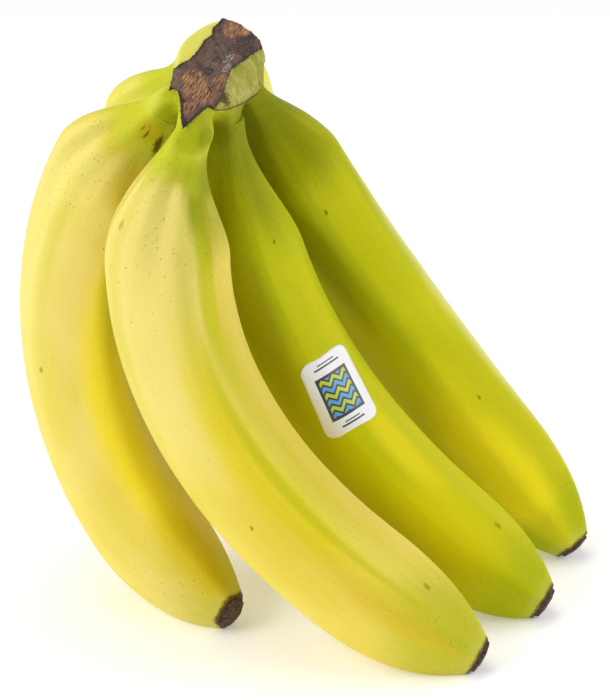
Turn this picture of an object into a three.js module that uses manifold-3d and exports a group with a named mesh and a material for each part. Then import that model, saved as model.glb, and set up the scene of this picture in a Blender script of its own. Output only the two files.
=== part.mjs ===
// A cluster of six bananas on one crown, cut from a larger hand.
// It stands as it is set down on a table: crown on top, resting on the tips of its fingers.
// Units are millimetres, +Z is up, and the origin is on the table under the middle of the cluster.
import * as THREE from 'three';
import { mergeVertices } from 'three/addons/utils/BufferGeometryUtils.js';
import Module from 'manifold-3d';

const wasm = await Module();
wasm.setup();

// ---------------------------------------------------------------- driving dimensions

const GAP = 0.3; // clear gap kept between pieces that touch

// The hand's own frame. "row" runs along the row of fingers from the near end to the far end,
// "bend" is the way all the fingers curve, and "out" is the way they leave the crown.
const HAND = {
  heading: 19, // degrees that the row is turned away from +Y, towards +X
  tilt: 46, // degrees that the bend direction dips below the horizontal
  x: -27.56,
  y: -26.45,
  z: 172.3,
};

// One banana: a thin stalk, a shoulder where it widens, a five-sided body and a tapered nose.
const STALK = { length: 10, radius: 5.2, flare: 2.2, flareLength: 5, collar: 7 };
const NOSE = { radius: 4.8, fullness: 2.7 };
const RIDGES = { count: 5, body: 0.04, stalk: 0.02 };

// How finely things are divided: a banana around and along, its collar along, the walk down each
// division of its centre line, the cushion of the crown, a blossom end and the label's corners.
const MESH = {
  around: 24, along: 38, collar: 3, steps: 4,
  cushionAround: 36, cushionDown: 18, blossomEnd: 2, corner: 4,
};

// along, across and rise place the root on the crown; fan turns the finger along the row and lean
// tips its plane; it bends from bendStart to bendEnd degrees, sooner where early is larger. One of
// the ridges lies turn degrees around from the inside of the bend, and twist turns it along the way.
const FINGERS = [
  { name: 'banana_outer_near', colour: 'yellow',
    along: -16.5, across: -3.5, rise: -3.5, fan: 12.2, lean: -13.1,
    bendStart: -7.9, bendEnd: 122.2, early: -0.15, length: 209.3, width: 35.7,
    shoulder: 31, nose: 50, turn: 18, twist: 18 },
  { name: 'banana_inner_near', colour: 'yellow',
    along: -25, across: 5, rise: 5, fan: -6.6, lean: 2.1,
    bendStart: 11.3, bendEnd: 110.5, early: 0.7, length: 214.2, width: 38,
    shoulder: 41, nose: 48.3, turn: 63, twist: 22 },
  { name: 'banana_outer_middle', colour: 'yellow',
    along: 3, across: -7, rise: -3, fan: 32.5, lean: -2,
    bendStart: -3.5, bendEnd: 74, early: 0, length: 205, width: 34.2,
    shoulder: 38, nose: 48, turn: 30, twist: 10 },
  { name: 'banana_inner_middle', colour: 'greenish',
    along: -5, across: 4.5, rise: 1.5, fan: 13.2, lean: 3,
    bendStart: 35, bendEnd: 109.3, early: 0.28, length: 207.4, width: 35.2,
    shoulder: 49, nose: 42, turn: 50, twist: 0 },
  { name: 'banana_outer_far', colour: 'yellow',
    along: 22.5, across: -7.5, rise: -3.5, fan: 54, lean: -11.5,
    bendStart: -4, bendEnd: 88.5, early: 0.5, length: 217, width: 33.8,
    shoulder: 45, nose: 48, turn: -12, twist: 8 },
  { name: 'banana_inner_far', colour: 'greenish',
    along: 14.5, across: -0.5, rise: -1.5, fan: 52.7, lean: -2.1,
    bendStart: 47.6, bendEnd: 94.1, early: 0.18, length: 207, width: 34.4,
    shoulder: 35, nose: 47, turn: -54, twist: -12 },
];

// The dried flower end on each nose: a short corky stub, waves times out of round by rough.
const BLOSSOM_END = {
  length: 3.2, rootRadius: 4.2, tipRadius: 3.1, around: 14, rough: 0.09, waves: 3,
};

// The crown: a cushion, longer along the row, with the roots of the stalks grown into it as
// collars. It has a flat cut face and a trimmed flank that slopes down from one side of that face.
const CROWN = {
  along: 2, across: -1.5, rise: -2.5, // centre in the hand's frame
  halfLength: 32, halfWidth: 13.5, halfHeight: 9,
  plan: 2.3, // how square the cushion is seen from the cut face
  taper: 0.5, // how much narrower it is at its near end
  profile: 3, // and seen from its side
  cutRise: 3,
  flank: { along: -20, across: 5.5, slope: 22, skew: -2.4 },
};

// The paper label, on the middle banana of the inner row.
const LABEL = {
  on: 'banana_inner_middle', at: 0.521, around: 31, turn: -9,
  width: 18, height: 25.5, corner: 3, thickness: 0.4,
};

const COLOURS = {
  yellow: 0xe3cf3c,
  greenish: 0xc4c62c,
  crown: 0x5a4030,
  blossomEnd: 0x4a3526,
  paper: 0xf2f2ee,
};

// ---------------------------------------------------------------- helpers

const radians = THREE.MathUtils.degToRad;
const smooth = (x) => THREE.MathUtils.smoothstep(x, 0, 1);

/** The hand's frame: its origin on the crown and its three unit directions. */
function handFrame() {
  const heading = radians(HAND.heading);
  const tilt = radians(HAND.tilt);
  const row = new THREE.Vector3(Math.sin(heading), Math.cos(heading), 0);
  const bend = new THREE.Vector3(
    Math.cos(tilt) * Math.cos(heading),
    -Math.cos(tilt) * Math.sin(heading),
    -Math.sin(tilt),
  );
  const out = row.clone().cross(bend);
  return { origin: new THREE.Vector3(HAND.x, HAND.y, HAND.z), row, bend, out };
}

const hand = handFrame();

/** A point given in the hand's frame, rise being towards the cut face. */
function handPoint(along, across, rise) {
  return hand.origin.clone()
    .addScaledVector(hand.row, along)
    .addScaledVector(hand.bend, across)
    .addScaledVector(hand.out, -rise);
}

/** A sum of scaled directions, as a new vector. */
function mix(a, scaleA, b, scaleB) {
  return a.clone().multiplyScalar(scaleA).addScaledVector(b, scaleB);
}

/** A closed three.js geometry as a manifold solid. */
function solidOf(geometry) {
  const bare = geometry.clone();
  bare.deleteAttribute('normal');
  bare.deleteAttribute('uv');
  const merged = mergeVertices(bare, 1e-4);
  const mesh = new wasm.Mesh({
    numProp: 3,
    vertProperties: new Float32Array(merged.attributes.position.array),
    triVerts: new Uint32Array(merged.index.array),
  });
  return new wasm.Manifold(mesh);
}

/** A manifold solid as a three.js geometry. */
function geometryOf(solid) {
  const mesh = solid.getMesh();
  const geometry = new THREE.BufferGeometry();
  geometry.setAttribute('position', new THREE.BufferAttribute(mesh.vertProperties, 3));
  geometry.setIndex(new THREE.BufferAttribute(mesh.triVerts, 1));
  geometry.computeVertexNormals();
  return geometry;
}

/** The largest body of a solid, without any sliver that a cut left loose. */
function largestBody(solid) {
  const bodies = solid.decompose();
  return bodies.reduce((best, body) => (body.volume() > best.volume() ? body : best));
}

/** Moves every vertex of a geometry through a function of its position. */
function mapped(geometry, place) {
  const position = geometry.attributes.position;
  const point = new THREE.Vector3();
  for (let i = 0; i < position.count; i += 1) {
    point.fromBufferAttribute(position, i);
    const moved = place(point);
    position.setXYZ(i, moved.x, moved.y, moved.z);
  }
  return geometry;
}

// ---------------------------------------------------------------- one banana

/** The centre line of a finger, with its radius and its frame at any place along it. */
class Finger {
  constructor(sizes) {
    this.sizes = sizes;
    const fan = radians(sizes.fan);
    const lean = radians(sizes.lean);
    this.radial = mix(hand.out, Math.cos(fan), hand.row, Math.sin(fan));
    const sideways = hand.bend.clone().cross(this.radial);
    this.inward = mix(hand.bend, Math.cos(lean), sideways, Math.sin(lean));
    this.points = this.walk();
  }

  /** The angle that the finger has bent through at t, 0 at the root and 1 at the nose. */
  bendAt(t) {
    const { bendStart, bendEnd, early } = this.sizes;
    return radians(bendStart + (bendEnd - bendStart) * (t + early * t * (1 - t)));
  }

  /** The direction of the centre line at t. */
  directionAt(t) {
    const angle = this.bendAt(t);
    return mix(this.radial, Math.cos(angle), this.inward, Math.sin(angle)).normalize();
  }

  /** Points along the centre line, found by walking it in small steps. */
  walk() {
    const { along, across, rise, length } = this.sizes;
    const count = MESH.along * MESH.steps;
    const points = [handPoint(along, across, rise)];
    for (let i = 0; i < count; i += 1) {
      const direction = this.directionAt((i + 0.5) / count);
      points.push(points[i].clone().addScaledVector(direction, length / count));
    }
    return points;
  }

  /** The point on the centre line at t, which may run on a little past the nose. */
  pointAt(t) {
    const last = this.points.length - 1;
    const place = THREE.MathUtils.clamp(t, 0, 1) * last;
    const i = Math.min(Math.floor(place), last - 1);
    const point = this.points[i].clone().lerp(this.points[i + 1], place - i);
    return point.addScaledVector(this.directionAt(1), Math.max(t - 1, 0) * this.sizes.length);
  }

  /** The mean radius at t. */
  radiusAt(t) {
    const { length, width, shoulder, nose } = this.sizes;
    const distance = t * length;
    const full = width / 2;
    const widening = smooth((distance - STALK.length) / shoulder);
    const body = STALK.radius + (full - STALK.radius) * widening;
    const taper = Math.max(0, (distance - (length - nose)) / nose);
    const narrowing = 1 - (1 - NOSE.radius / full) * taper ** NOSE.fullness;
    return body * narrowing + STALK.flare * Math.exp(-distance / STALK.flareLength);
  }

  /** How far the five ridges stand out at t, as a share of the radius. */
  ridgeAt(t) {
    const { length, shoulder } = this.sizes;
    const body = smooth((t * length - STALK.length) / shoulder);
    return RIDGES.stalk + (RIDGES.body - RIDGES.stalk) * body;
  }

  /** A point on the skin: t along, angle around from the inside of the bend, out by a grown gap. */
  skinPoint(t, angle, grown = 0, share = 1) {
    const direction = this.directionAt(t);
    const bent = this.bendAt(t);
    const inner = mix(this.radial, -Math.sin(bent), this.inward, Math.cos(bent));
    const side = direction.clone().cross(inner);
    const ridgeTurn = radians(this.sizes.turn + this.sizes.twist * (t - 0.5));
    const ridge = Math.cos(RIDGES.count * (angle - ridgeTurn));
    const radius = this.radiusAt(t) * (1 + this.ridgeAt(t) * ridge) + grown;
    return this.pointAt(t)
      .addScaledVector(inner, radius * share * Math.cos(angle))
      .addScaledVector(side, radius * share * Math.sin(angle));
  }

  /** The stretch of the finger between two places along it, as a solid grown by a gap. */
  stretch(from, to, steps, grown) {
    const tube = new THREE.CylinderGeometry(1, 1, 1, MESH.around, steps);
    return solidOf(mapped(tube, (p) => {
      const share = Math.min(1, Math.hypot(p.x, p.z));
      const t = THREE.MathUtils.lerp(from, to, p.y + 0.5);
      return this.skinPoint(t, Math.atan2(p.x, p.z), grown, share);
    }));
  }

  /** The banana itself, from where it leaves its collar on the crown to the nose. */
  body(grown = 0) {
    return this.stretch((STALK.collar + GAP) / this.sizes.length, 1, MESH.along, grown);
  }

  /** The root of the stalk, which is part of the crown. */
  collar(grown) {
    return this.stretch(0, STALK.collar / this.sizes.length, MESH.collar, grown);
  }

  /** The dried flower end, a rough stub just past the nose. */
  blossomEnd() {
    const { length, rootRadius, tipRadius, around, rough, waves } = BLOSSOM_END;
    const start = 1 + GAP / this.sizes.length;
    const direction = this.directionAt(1);
    const stub = new THREE.CylinderGeometry(
      tipRadius, rootRadius, length, around, MESH.blossomEnd,
    );
    const side = direction.clone().cross(this.inward).normalize();
    const other = side.clone().cross(direction);
    return mapped(stub, (p) => {
      const angle = Math.atan2(p.x, p.z);
      const depth = rough * (0.5 + p.y / length);
      const wave = 1 + depth * Math.sin(waves * angle + this.sizes.along);
      return this.pointAt(start)
        .addScaledVector(direction, p.y + length / 2)
        .addScaledVector(side, p.z * wave)
        .addScaledVector(other, -p.x * wave);
    });
  }
}

// ---------------------------------------------------------------- the crown

/** A cut plane in the hand's frame, as the normal and offset that trimByPlane takes. */
function handPlane(normal, through) {
  return { normal: normal.clone().negate().toArray(), offset: -through.dot(normal) };
}

/** The crown with the collar of every finger, or grown by a gap the space that it needs. */
function crownSolid(fingers, grown = 0) {
  const { along, across, rise, halfLength, halfWidth, halfHeight, plan, profile, taper } = CROWN;
  const ball = new THREE.SphereGeometry(1, MESH.cushionAround, MESH.cushionDown);
  const cushion = solidOf(mapped(ball, (p) => {
    const flat = Math.hypot(p.x, p.y);
    const square = flat > 0
      ? (Math.abs(p.x / flat) ** plan + Math.abs(p.y / flat) ** plan) ** (-1 / plan)
      : 0;
    const full = (flat ** profile + Math.abs(p.z) ** profile) ** (-1 / profile);
    const nearness = Math.max(0, p.x * square * full);
    const width = 1 - taper * nearness ** 2;
    return handPoint(
      along - p.x * square * full * (halfLength + grown),
      across + p.y * square * full * width * (halfWidth + grown),
      rise + p.z * full * (halfHeight + grown),
    );
  }));
  const whole = fingers.reduce((joined, finger) => joined.add(finger.collar(grown)), cushion);
  const up = hand.out.clone().negate();
  const cut = handPlane(up, handPoint(0, 0, CROWN.cutRise));
  const { slope, skew } = CROWN.flank;
  const flankNormal = mix(up, Math.cos(radians(slope)), hand.bend, Math.sin(radians(slope)))
    .addScaledVector(hand.row, -Math.sin(radians(skew)))
    .normalize();
  const edge = handPoint(CROWN.flank.along, CROWN.flank.across, CROWN.cutRise);
  const flank = handPlane(flankNormal, edge);
  return whole.trimByPlane(cut.normal, cut.offset).trimByPlane(flank.normal, flank.offset);
}

// ---------------------------------------------------------------- the label

/** A rounded rectangle, centred on the origin. */
function labelShape() {
  const { width, height, corner } = LABEL;
  const shape = new THREE.Shape();
  const [x, y] = [width / 2, height / 2];
  shape.moveTo(-x + corner, -y);
  shape.lineTo(x - corner, -y);
  shape.absarc(x - corner, -y + corner, corner, -Math.PI / 2, 0);
  shape.absarc(x - corner, y - corner, corner, 0, Math.PI / 2);
  shape.absarc(-x + corner, y - corner, corner, Math.PI / 2, Math.PI);
  shape.absarc(-x + corner, -y + corner, corner, Math.PI, 1.5 * Math.PI);
  return shape;
}

/** The label: the part of a thin skin round its banana that lies inside the label's outline. */
function labelSolid(finger) {
  const { at, around, turn, width, thickness } = LABEL;
  const angle = radians(around);
  const centre = finger.skinPoint(at, angle);
  const normal = centre.clone().sub(finger.pointAt(at)).normalize();
  const axis = finger.directionAt(at).applyAxisAngle(normal, radians(turn));
  const across = axis.clone().cross(normal).normalize();
  const up = normal.clone().cross(across);
  const block = new THREE.ExtrudeGeometry(labelShape(), {
    depth: width, bevelEnabled: false, curveSegments: MESH.corner,
  });
  block.translate(0, 0, -width / 2);
  block.applyMatrix4(new THREE.Matrix4().makeBasis(across, up, normal).setPosition(centre));
  const skin = finger.body(GAP + thickness).subtract(finger.body(GAP));
  return largestBody(skin.intersect(solidOf(block)));
}

// ---------------------------------------------------------------- the whole cluster

function part(name, geometry, color, roughness) {
  const material = new THREE.MeshStandardMaterial({ color, roughness, metalness: 0 });
  const mesh = new THREE.Mesh(geometry, material);
  mesh.name = name;
  return mesh;
}

function buildCluster() {
  const cluster = new THREE.Group();
  cluster.name = 'banana_cluster';
  const fingers = FINGERS.map((sizes) => new Finger(sizes));
  cluster.add(part('crown', geometryOf(crownSolid(fingers)), COLOURS.crown, 0.9));
  const crownSpace = crownSolid(fingers, GAP);

  const table = { normal: [0, 0, 1], offset: 0 };
  fingers.forEach((finger, i) => {
    const { name, colour } = finger.sizes;
    let banana = finger.body().subtract(crownSpace).trimByPlane(table.normal, table.offset);
    for (const neighbour of fingers.slice(0, i)) {
      banana = banana.subtract(neighbour.body(GAP));
    }
    cluster.add(part(name, geometryOf(largestBody(banana)), COLOURS[colour], 0.5));
    const end = solidOf(finger.blossomEnd()).trimByPlane(table.normal, table.offset);
    const endName = name.replace('banana', 'blossom_end');
    cluster.add(part(endName, geometryOf(largestBody(end)), COLOURS.blossomEnd, 0.95));
  });

  const labelled = fingers.find((finger) => finger.sizes.name === LABEL.on);
  cluster.add(part('label', geometryOf(labelSolid(labelled)), COLOURS.paper, 0.4));
  return cluster;
}

export default buildCluster();
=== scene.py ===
"""A cluster of six bananas on one crown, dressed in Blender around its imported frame.

The frame gives the places and the box of every piece. The fingers repeat the frame's own rule: a centre
line that bends more and more on its way from the crown, with a five-ridged skin around it. Lengths in
dataclasses are millimetres and angles are degrees; MM turns them into Blender's metres.
"""

from __future__ import annotations

import logging
import math
from collections.abc import Mapping, Sequence
from dataclasses import dataclass, field
from enum import Enum
from typing import Any

import bpy
import numpy as np
from mathutils import Euler, Matrix, Vector, noise
from mathutils.bvhtree import BVHTree
from mathutils.geometry import delaunay_2d_cdt


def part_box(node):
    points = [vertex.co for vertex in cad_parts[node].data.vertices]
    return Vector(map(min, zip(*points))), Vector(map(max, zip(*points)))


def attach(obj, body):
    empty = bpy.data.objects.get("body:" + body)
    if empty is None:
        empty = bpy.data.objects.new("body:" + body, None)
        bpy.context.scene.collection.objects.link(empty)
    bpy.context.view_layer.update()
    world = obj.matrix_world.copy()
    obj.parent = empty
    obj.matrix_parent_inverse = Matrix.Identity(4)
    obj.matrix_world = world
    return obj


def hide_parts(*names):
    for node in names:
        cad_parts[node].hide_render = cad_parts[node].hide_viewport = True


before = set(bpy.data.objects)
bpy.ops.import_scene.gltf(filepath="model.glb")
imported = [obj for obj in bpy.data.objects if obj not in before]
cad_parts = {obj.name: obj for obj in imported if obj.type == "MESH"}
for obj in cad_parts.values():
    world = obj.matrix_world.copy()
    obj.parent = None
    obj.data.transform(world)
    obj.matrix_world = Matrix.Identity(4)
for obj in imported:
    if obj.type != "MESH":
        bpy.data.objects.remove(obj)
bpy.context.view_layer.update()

MM = 0.001
log = logging.getLogger("bananas")


# ------------------------------------------------------------------------------- node graphs


class Socket:
    """A node's output that Python operators work on: Math for values, Vector Math for vectors."""

    def __init__(self, graph: Graph, link: bpy.types.NodeSocket) -> None:
        """Wraps one output.

        Args:
            graph: The graph that the output belongs to.
            link: Blender's own socket.
        """
        self.graph = graph
        self.link = link

    def __add__(self, other: Number) -> Socket:
        """self + other."""
        return self.graph.maths("ADD", self, other)

    def __radd__(self, other: Number) -> Socket:
        """other + self."""
        return self.graph.maths("ADD", other, self)

    def __sub__(self, other: Number) -> Socket:
        """self - other."""
        return self.graph.maths("SUBTRACT", self, other)

    def __rsub__(self, other: Number) -> Socket:
        """other - self."""
        return self.graph.maths("SUBTRACT", other, self)

    def __mul__(self, other: Number) -> Socket:
        """self * other."""
        return self.graph.maths("MULTIPLY", self, other)

    def __truediv__(self, other: Number) -> Socket:
        """self / other."""
        return self.graph.maths("DIVIDE", self, other)

    def __pow__(self, other: Number) -> Socket:
        """self ** other."""
        return self.graph.maths("POWER", self, other)

    def __abs__(self) -> Socket:
        """The size of self without its sign."""
        return self.graph.maths("ABSOLUTE", self)

    def at_least(self, other: Number) -> Socket:
        """The larger of self and other."""
        return self.graph.maths("MAXIMUM", self, other)

    def at_most(self, other: Number) -> Socket:
        """The smaller of self and other."""
        return self.graph.maths("MINIMUM", self, other)

    def dot(self, other: Number) -> Socket:
        """The dot product of two vectors."""
        return self.graph.maths("DOT_PRODUCT", self, other, out="Value")

    def cross(self, other: Number) -> Socket:
        """The cross product of two vectors."""
        return self.graph.maths("CROSS_PRODUCT", self, other)

    def length(self) -> Socket:
        """The length of a vector."""
        return self.graph.maths("LENGTH", self, out="Value")

    def direction(self) -> Socket:
        """A vector scaled to length 1."""
        return self.graph.maths("NORMALIZE", self)

    def part(self, axis: str) -> Socket:
        """One component of a vector, named X, Y or Z."""
        return self.graph.node("ShaderNodeSeparateXYZ", {}, {"Vector": self}, axis)

    def step(self, low: Number, high: Number) -> Socket:
        """A smooth step from 0 at low to 1 at high.

        Args:
            low: The value where the step leaves 0.
            high: The value where it reaches 1. It may be the smaller of the two.

        Returns:
            The step, between 0 and 1.
        """
        values = {"Value": self, "From Min": low, "From Max": high}
        return self.graph.node("ShaderNodeMapRange", {"interpolation_type": "SMOOTHSTEP"}, values)


Number = Socket | float | Sequence[float]


class Graph:
    """A node tree with the few calls that build it."""

    def __init__(self, tree: bpy.types.NodeTree) -> None:
        """Wraps a tree.

        Args:
            tree: A shader or geometry node tree.
        """
        self.tree = tree

    def node(
        self,
        kind: str,
        settings: Mapping[str, Any],
        values: Mapping[int | str, Any],
        out: int | str = 0,
    ) -> Socket:
        """Adds one node.

        Args:
            kind: The node's type.
            settings: The node's own properties, set first.
            values: Links or plain values of its inputs, by name or number.
            out: The output that is wanted, by name or number.

        Returns:
            The output.
        """
        made = self.tree.nodes.new(kind)
        for name, value in settings.items():
            setattr(made, name, value)
        for name, value in values.items():
            socket = find_socket(made.inputs, name)
            if isinstance(value, Socket):
                self.tree.links.new(value.link, socket)
            else:
                plain = socket.type == "VECTOR" and isinstance(value, (int, float))
                socket.default_value = (value,) * 3 if plain else value
        return Socket(self, find_socket(made.outputs, out))

    def maths(self, operation: str, *parts: Number, out: int | str = 0) -> Socket:
        """Adds a Math node, or a Vector Math node where a vector takes part.

        Args:
            operation: The operation's name.
            parts: What it works on, in order.
            out: The output that is wanted.

        Returns:
            The result.
        """
        vector = any(
            part.link.type == "VECTOR" if isinstance(part, Socket) else isinstance(part, Sequence)
            for part in parts
        )
        kind = "ShaderNodeVectorMath" if vector else "ShaderNodeMath"
        return self.node(kind, {"operation": operation}, dict(enumerate(parts)), out)

    def vector(self, x: Number, y: Number, z: Number) -> Socket:
        """A vector from its three components."""
        return self.node("ShaderNodeCombineXYZ", {}, {"X": x, "Y": y, "Z": z})

    def blend(self, share: Number, first: Any, second: Any) -> Socket:
        """Mixes two colours.

        Args:
            share: How much of the second colour there is, from 0 to 1.
            first: The first colour.
            second: The second colour.

        Returns:
            The mixed colour.
        """
        colours = {"Factor": share, "A": first, "B": second}
        return self.node("ShaderNodeMix", {"data_type": "RGBA"}, colours, "Result")

    def coat(self, colour: Any, layers: Sequence[tuple[Number, Any]]) -> Socket:
        """Lays colours over one another.

        Args:
            colour: The lowest colour.
            layers: How much there is of each further colour, and that colour, from the lowest up.

        Returns:
            The mixed colour.
        """
        for share, layer in layers:
            colour = self.blend(share, colour, layer)
        return colour

    def noise(
        self, where: Socket, scale: float, detail: float = 2, rough: float = 0.5, seed: float = 0,
    ) -> Socket:
        """Noise between 0 and 1, about 0.5 in the mean.

        Args:
            where: The coordinates.
            scale: How many times it changes in a unit of the coordinates.
            detail: How many finer layers it has.
            rough: How strong the finer layers are.
            seed: Which noise it is.

        Returns:
            The noise.
        """
        values = {"Vector": where, "W": seed, "Scale": scale, "Detail": detail, "Roughness": rough}
        return self.node("ShaderNodeTexNoise", {"noise_dimensions": "4D"}, values)


def find_socket(sockets: Any, name: int | str) -> bpy.types.NodeSocket:
    """A node's socket by its number, or the first one of that name that is in use.

    Args:
        sockets: The inputs or outputs of a node.
        name: The number or name.

    Returns:
        The socket.
    """
    if isinstance(name, int):
        return sockets[name]
    return next(socket for socket in sockets if socket.enabled and socket.name == name)


class GrowthGraph(Graph):
    """A geometry node tree that grows one kind of piece on a host mesh."""

    SOCKETS = {float: "NodeSocketFloat", Vector: "NodeSocketVector", bpy.types.Material: "NodeSocketMaterial"}

    def __init__(self, name: str, inputs: Mapping[str, type]) -> None:
        """Starts a tree.

        Args:
            name: The tree's name.
            inputs: The name and the kind of each input besides the host's own geometry.
        """
        tree = bpy.data.node_groups.new(name, "GeometryNodeTree")
        super().__init__(tree)
        tree.interface.new_socket("Geometry", in_out="INPUT", socket_type="NodeSocketGeometry")
        for label, kind in inputs.items():
            tree.interface.new_socket(label, in_out="INPUT", socket_type=self.SOCKETS[kind])
        tree.interface.new_socket("Geometry", in_out="OUTPUT", socket_type="NodeSocketGeometry")
        entry = tree.nodes.new("NodeGroupInput")
        self.given = {label: Socket(self, entry.outputs[label]) for label in ("Geometry", *inputs)}

    def field(self, kind: str) -> Socket:
        """An input node's field, such as a position."""
        return self.node(kind, {}, {})

    def capture(self, geometry: Socket, fields: Mapping[str, Socket]) -> tuple[Socket, dict[str, Socket]]:
        """Keeps fields as they are now on the points of a geometry.

        Args:
            geometry: The geometry.
            fields: The fields by name.

        Returns:
            The geometry, and the kept fields by name.
        """
        made = self.tree.nodes.new("GeometryNodeCaptureAttribute")
        for name, value in fields.items():
            made.capture_items.new("VECTOR" if value.link.type == "VECTOR" else "FLOAT", name)
            self.tree.links.new(value.link, made.inputs[name])
        self.tree.links.new(geometry.link, made.inputs["Geometry"])
        kept = {name: Socket(self, made.outputs[name]) for name in fields}
        return Socket(self, made.outputs["Geometry"]), kept

    def store(self, geometry: Socket, name: str, value: Socket) -> Socket:
        """Writes a field onto the points as a named attribute.

        Args:
            geometry: The geometry.
            name: The attribute's name.
            value: The field.

        Returns:
            The geometry with the attribute.
        """
        kind = "FLOAT_VECTOR" if value.link.type == "VECTOR" else "FLOAT"
        values = {"Geometry": geometry, "Name": name, "Value": value}
        return self.node("GeometryNodeStoreNamedAttribute", {"data_type": kind}, values)

    def tube(self, around: int, fields: Mapping[str, str]) -> tuple[Socket, dict[str, Socket]]:
        """Turns the host's line into a closed tube of radius 1 mm, to be blown up to the piece's own shape.

        Args:
            around: How many faces there are around it.
            fields: The type of the input node of each field of the line that is kept, by name.

        Returns:
            The tube, and the kept fields by name.
        """
        line = self.node("GeometryNodeMeshToCurve", {}, {"Mesh": self.given["Geometry"]})
        line, kept = self.capture(line, {name: self.field(kind) for name, kind in fields.items()})
        ring = self.node("GeometryNodeCurvePrimitiveCircle", {}, {"Resolution": around, "Radius": MM})
        parts = {"Curve": line, "Profile Curve": ring, "Fill Caps": True}
        return self.node("GeometryNodeCurveToMesh", {}, parts), kept

    def above_table(self, spot: Socket) -> Socket:
        """A place, raised to the table where it lies below it."""
        return self.vector(spot.part("X"), spot.part("Y"), spot.part("Z").at_least(0))

    def place(self, geometry: Socket, position: Socket) -> Socket:
        """Moves the points of a geometry to a position."""
        return self.node("GeometryNodeSetPosition", {}, {"Geometry": geometry, "Position": position})

    def end(self, geometry: Socket, material: Socket) -> None:
        """Ends the tree: smooth faces, no instances left, and one material.

        Args:
            geometry: What the tree has made.
            material: The material that it gets.
        """
        smooth = self.node("GeometryNodeSetShadeSmooth", {}, {"Geometry": geometry})
        real = self.node("GeometryNodeRealizeInstances", {}, {"Geometry": smooth})
        dressed = self.node("GeometryNodeSetMaterial", {}, {"Geometry": real, "Material": material})
        out = self.tree.nodes.new("NodeGroupOutput")
        self.tree.links.new(dressed.link, out.inputs["Geometry"])

    def grow(self, name: str, host: bpy.types.Mesh, values: Mapping[str, Any]) -> bpy.types.Object:
        """Runs the tree on a host mesh.

        Args:
            name: The name of the piece.
            host: The mesh that the tree starts from.
            values: The tree's inputs by name.

        Returns:
            An object with the result as a plain mesh, and no modifier.
        """
        seed = bpy.data.objects.new(name + "_host", host)
        bpy.context.collection.objects.link(seed)
        modifier = seed.modifiers.new("Growth", "NODES")
        modifier.node_group = self.tree
        for item in self.tree.interface.items_tree:
            if item.in_out == "INPUT" and item.name in values:
                value = values[item.name]
                modifier[item.identifier] = float(value) if isinstance(value, int) else value
        mesh = frozen(seed)
        bpy.data.objects.remove(seed)
        return add_object(name, mesh)


def frozen(source: bpy.types.Object) -> bpy.types.Mesh:
    """Turns what an object's modifiers make into plain data.

    Args:
        source: The object.

    Returns:
        The mesh.
    """
    graph = bpy.context.evaluated_depsgraph_get()
    grown = source.evaluated_get(graph)
    return bpy.data.meshes.new_from_object(grown, preserve_all_data_layers=True, depsgraph=graph)


def add_object(name: str, data: Any) -> bpy.types.Object:
    """A new object in the scene.

    Args:
        name: Its name.
        data: Its mesh, light or camera.

    Returns:
        The object.
    """
    made = bpy.data.objects.new(name, data)
    made.data.name = name
    bpy.context.scene.collection.objects.link(made)
    return made


def read_rows(data: Any, name: str) -> np.ndarray:
    """Reads a vector of every element of a mesh.

    Args:
        data: The elements.
        name: The vector's name.

    Returns:
        The vectors, as rows of three.
    """
    rows = np.empty(len(data) * 3)
    data.foreach_get(name, rows)
    return rows.reshape(-1, 3)


def write_field(mesh: bpy.types.Mesh, name: str, values: np.ndarray) -> None:
    """Writes a number or a vector for every point of a mesh.

    Args:
        mesh: The mesh.
        name: The attribute's name.
        values: The numbers, or the vectors as rows of three.
    """
    kind, key = ("FLOAT", "value") if values.ndim == 1 else ("FLOAT_VECTOR", "vector")
    mesh.attributes.new(name, kind, "POINT").data.foreach_set(key, values.ravel())


def line_mesh(points: Sequence[Vector]) -> bpy.types.Mesh:
    """Builds a mesh of one line, as a host to grow a piece along.

    Args:
        points: The points of the line, in metres.

    Returns:
        The mesh.
    """
    mesh = bpy.data.meshes.new("line")
    mesh.from_pydata([tuple(p) for p in points], [(i, i + 1) for i in range(len(points) - 1)], [])
    return mesh


# ------------------------------------------------------------------------------- finishes


def paint(red: int, green: int, blue: int) -> tuple[float, float, float, float]:
    """Turns a colour as a screen shows it into the linear colour that shaders take.

    Args:
        red: From 0 to 255.
        green: From 0 to 255.
        blue: From 0 to 255.

    Returns:
        The colour, with its alpha.
    """
    screen = [value / 255 for value in (red, green, blue)]
    linear = [v / 12.92 if v <= 0.04045 else ((v + 0.055) / 1.055) ** 2.4 for v in screen]
    return (*linear, 1.0)


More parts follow.
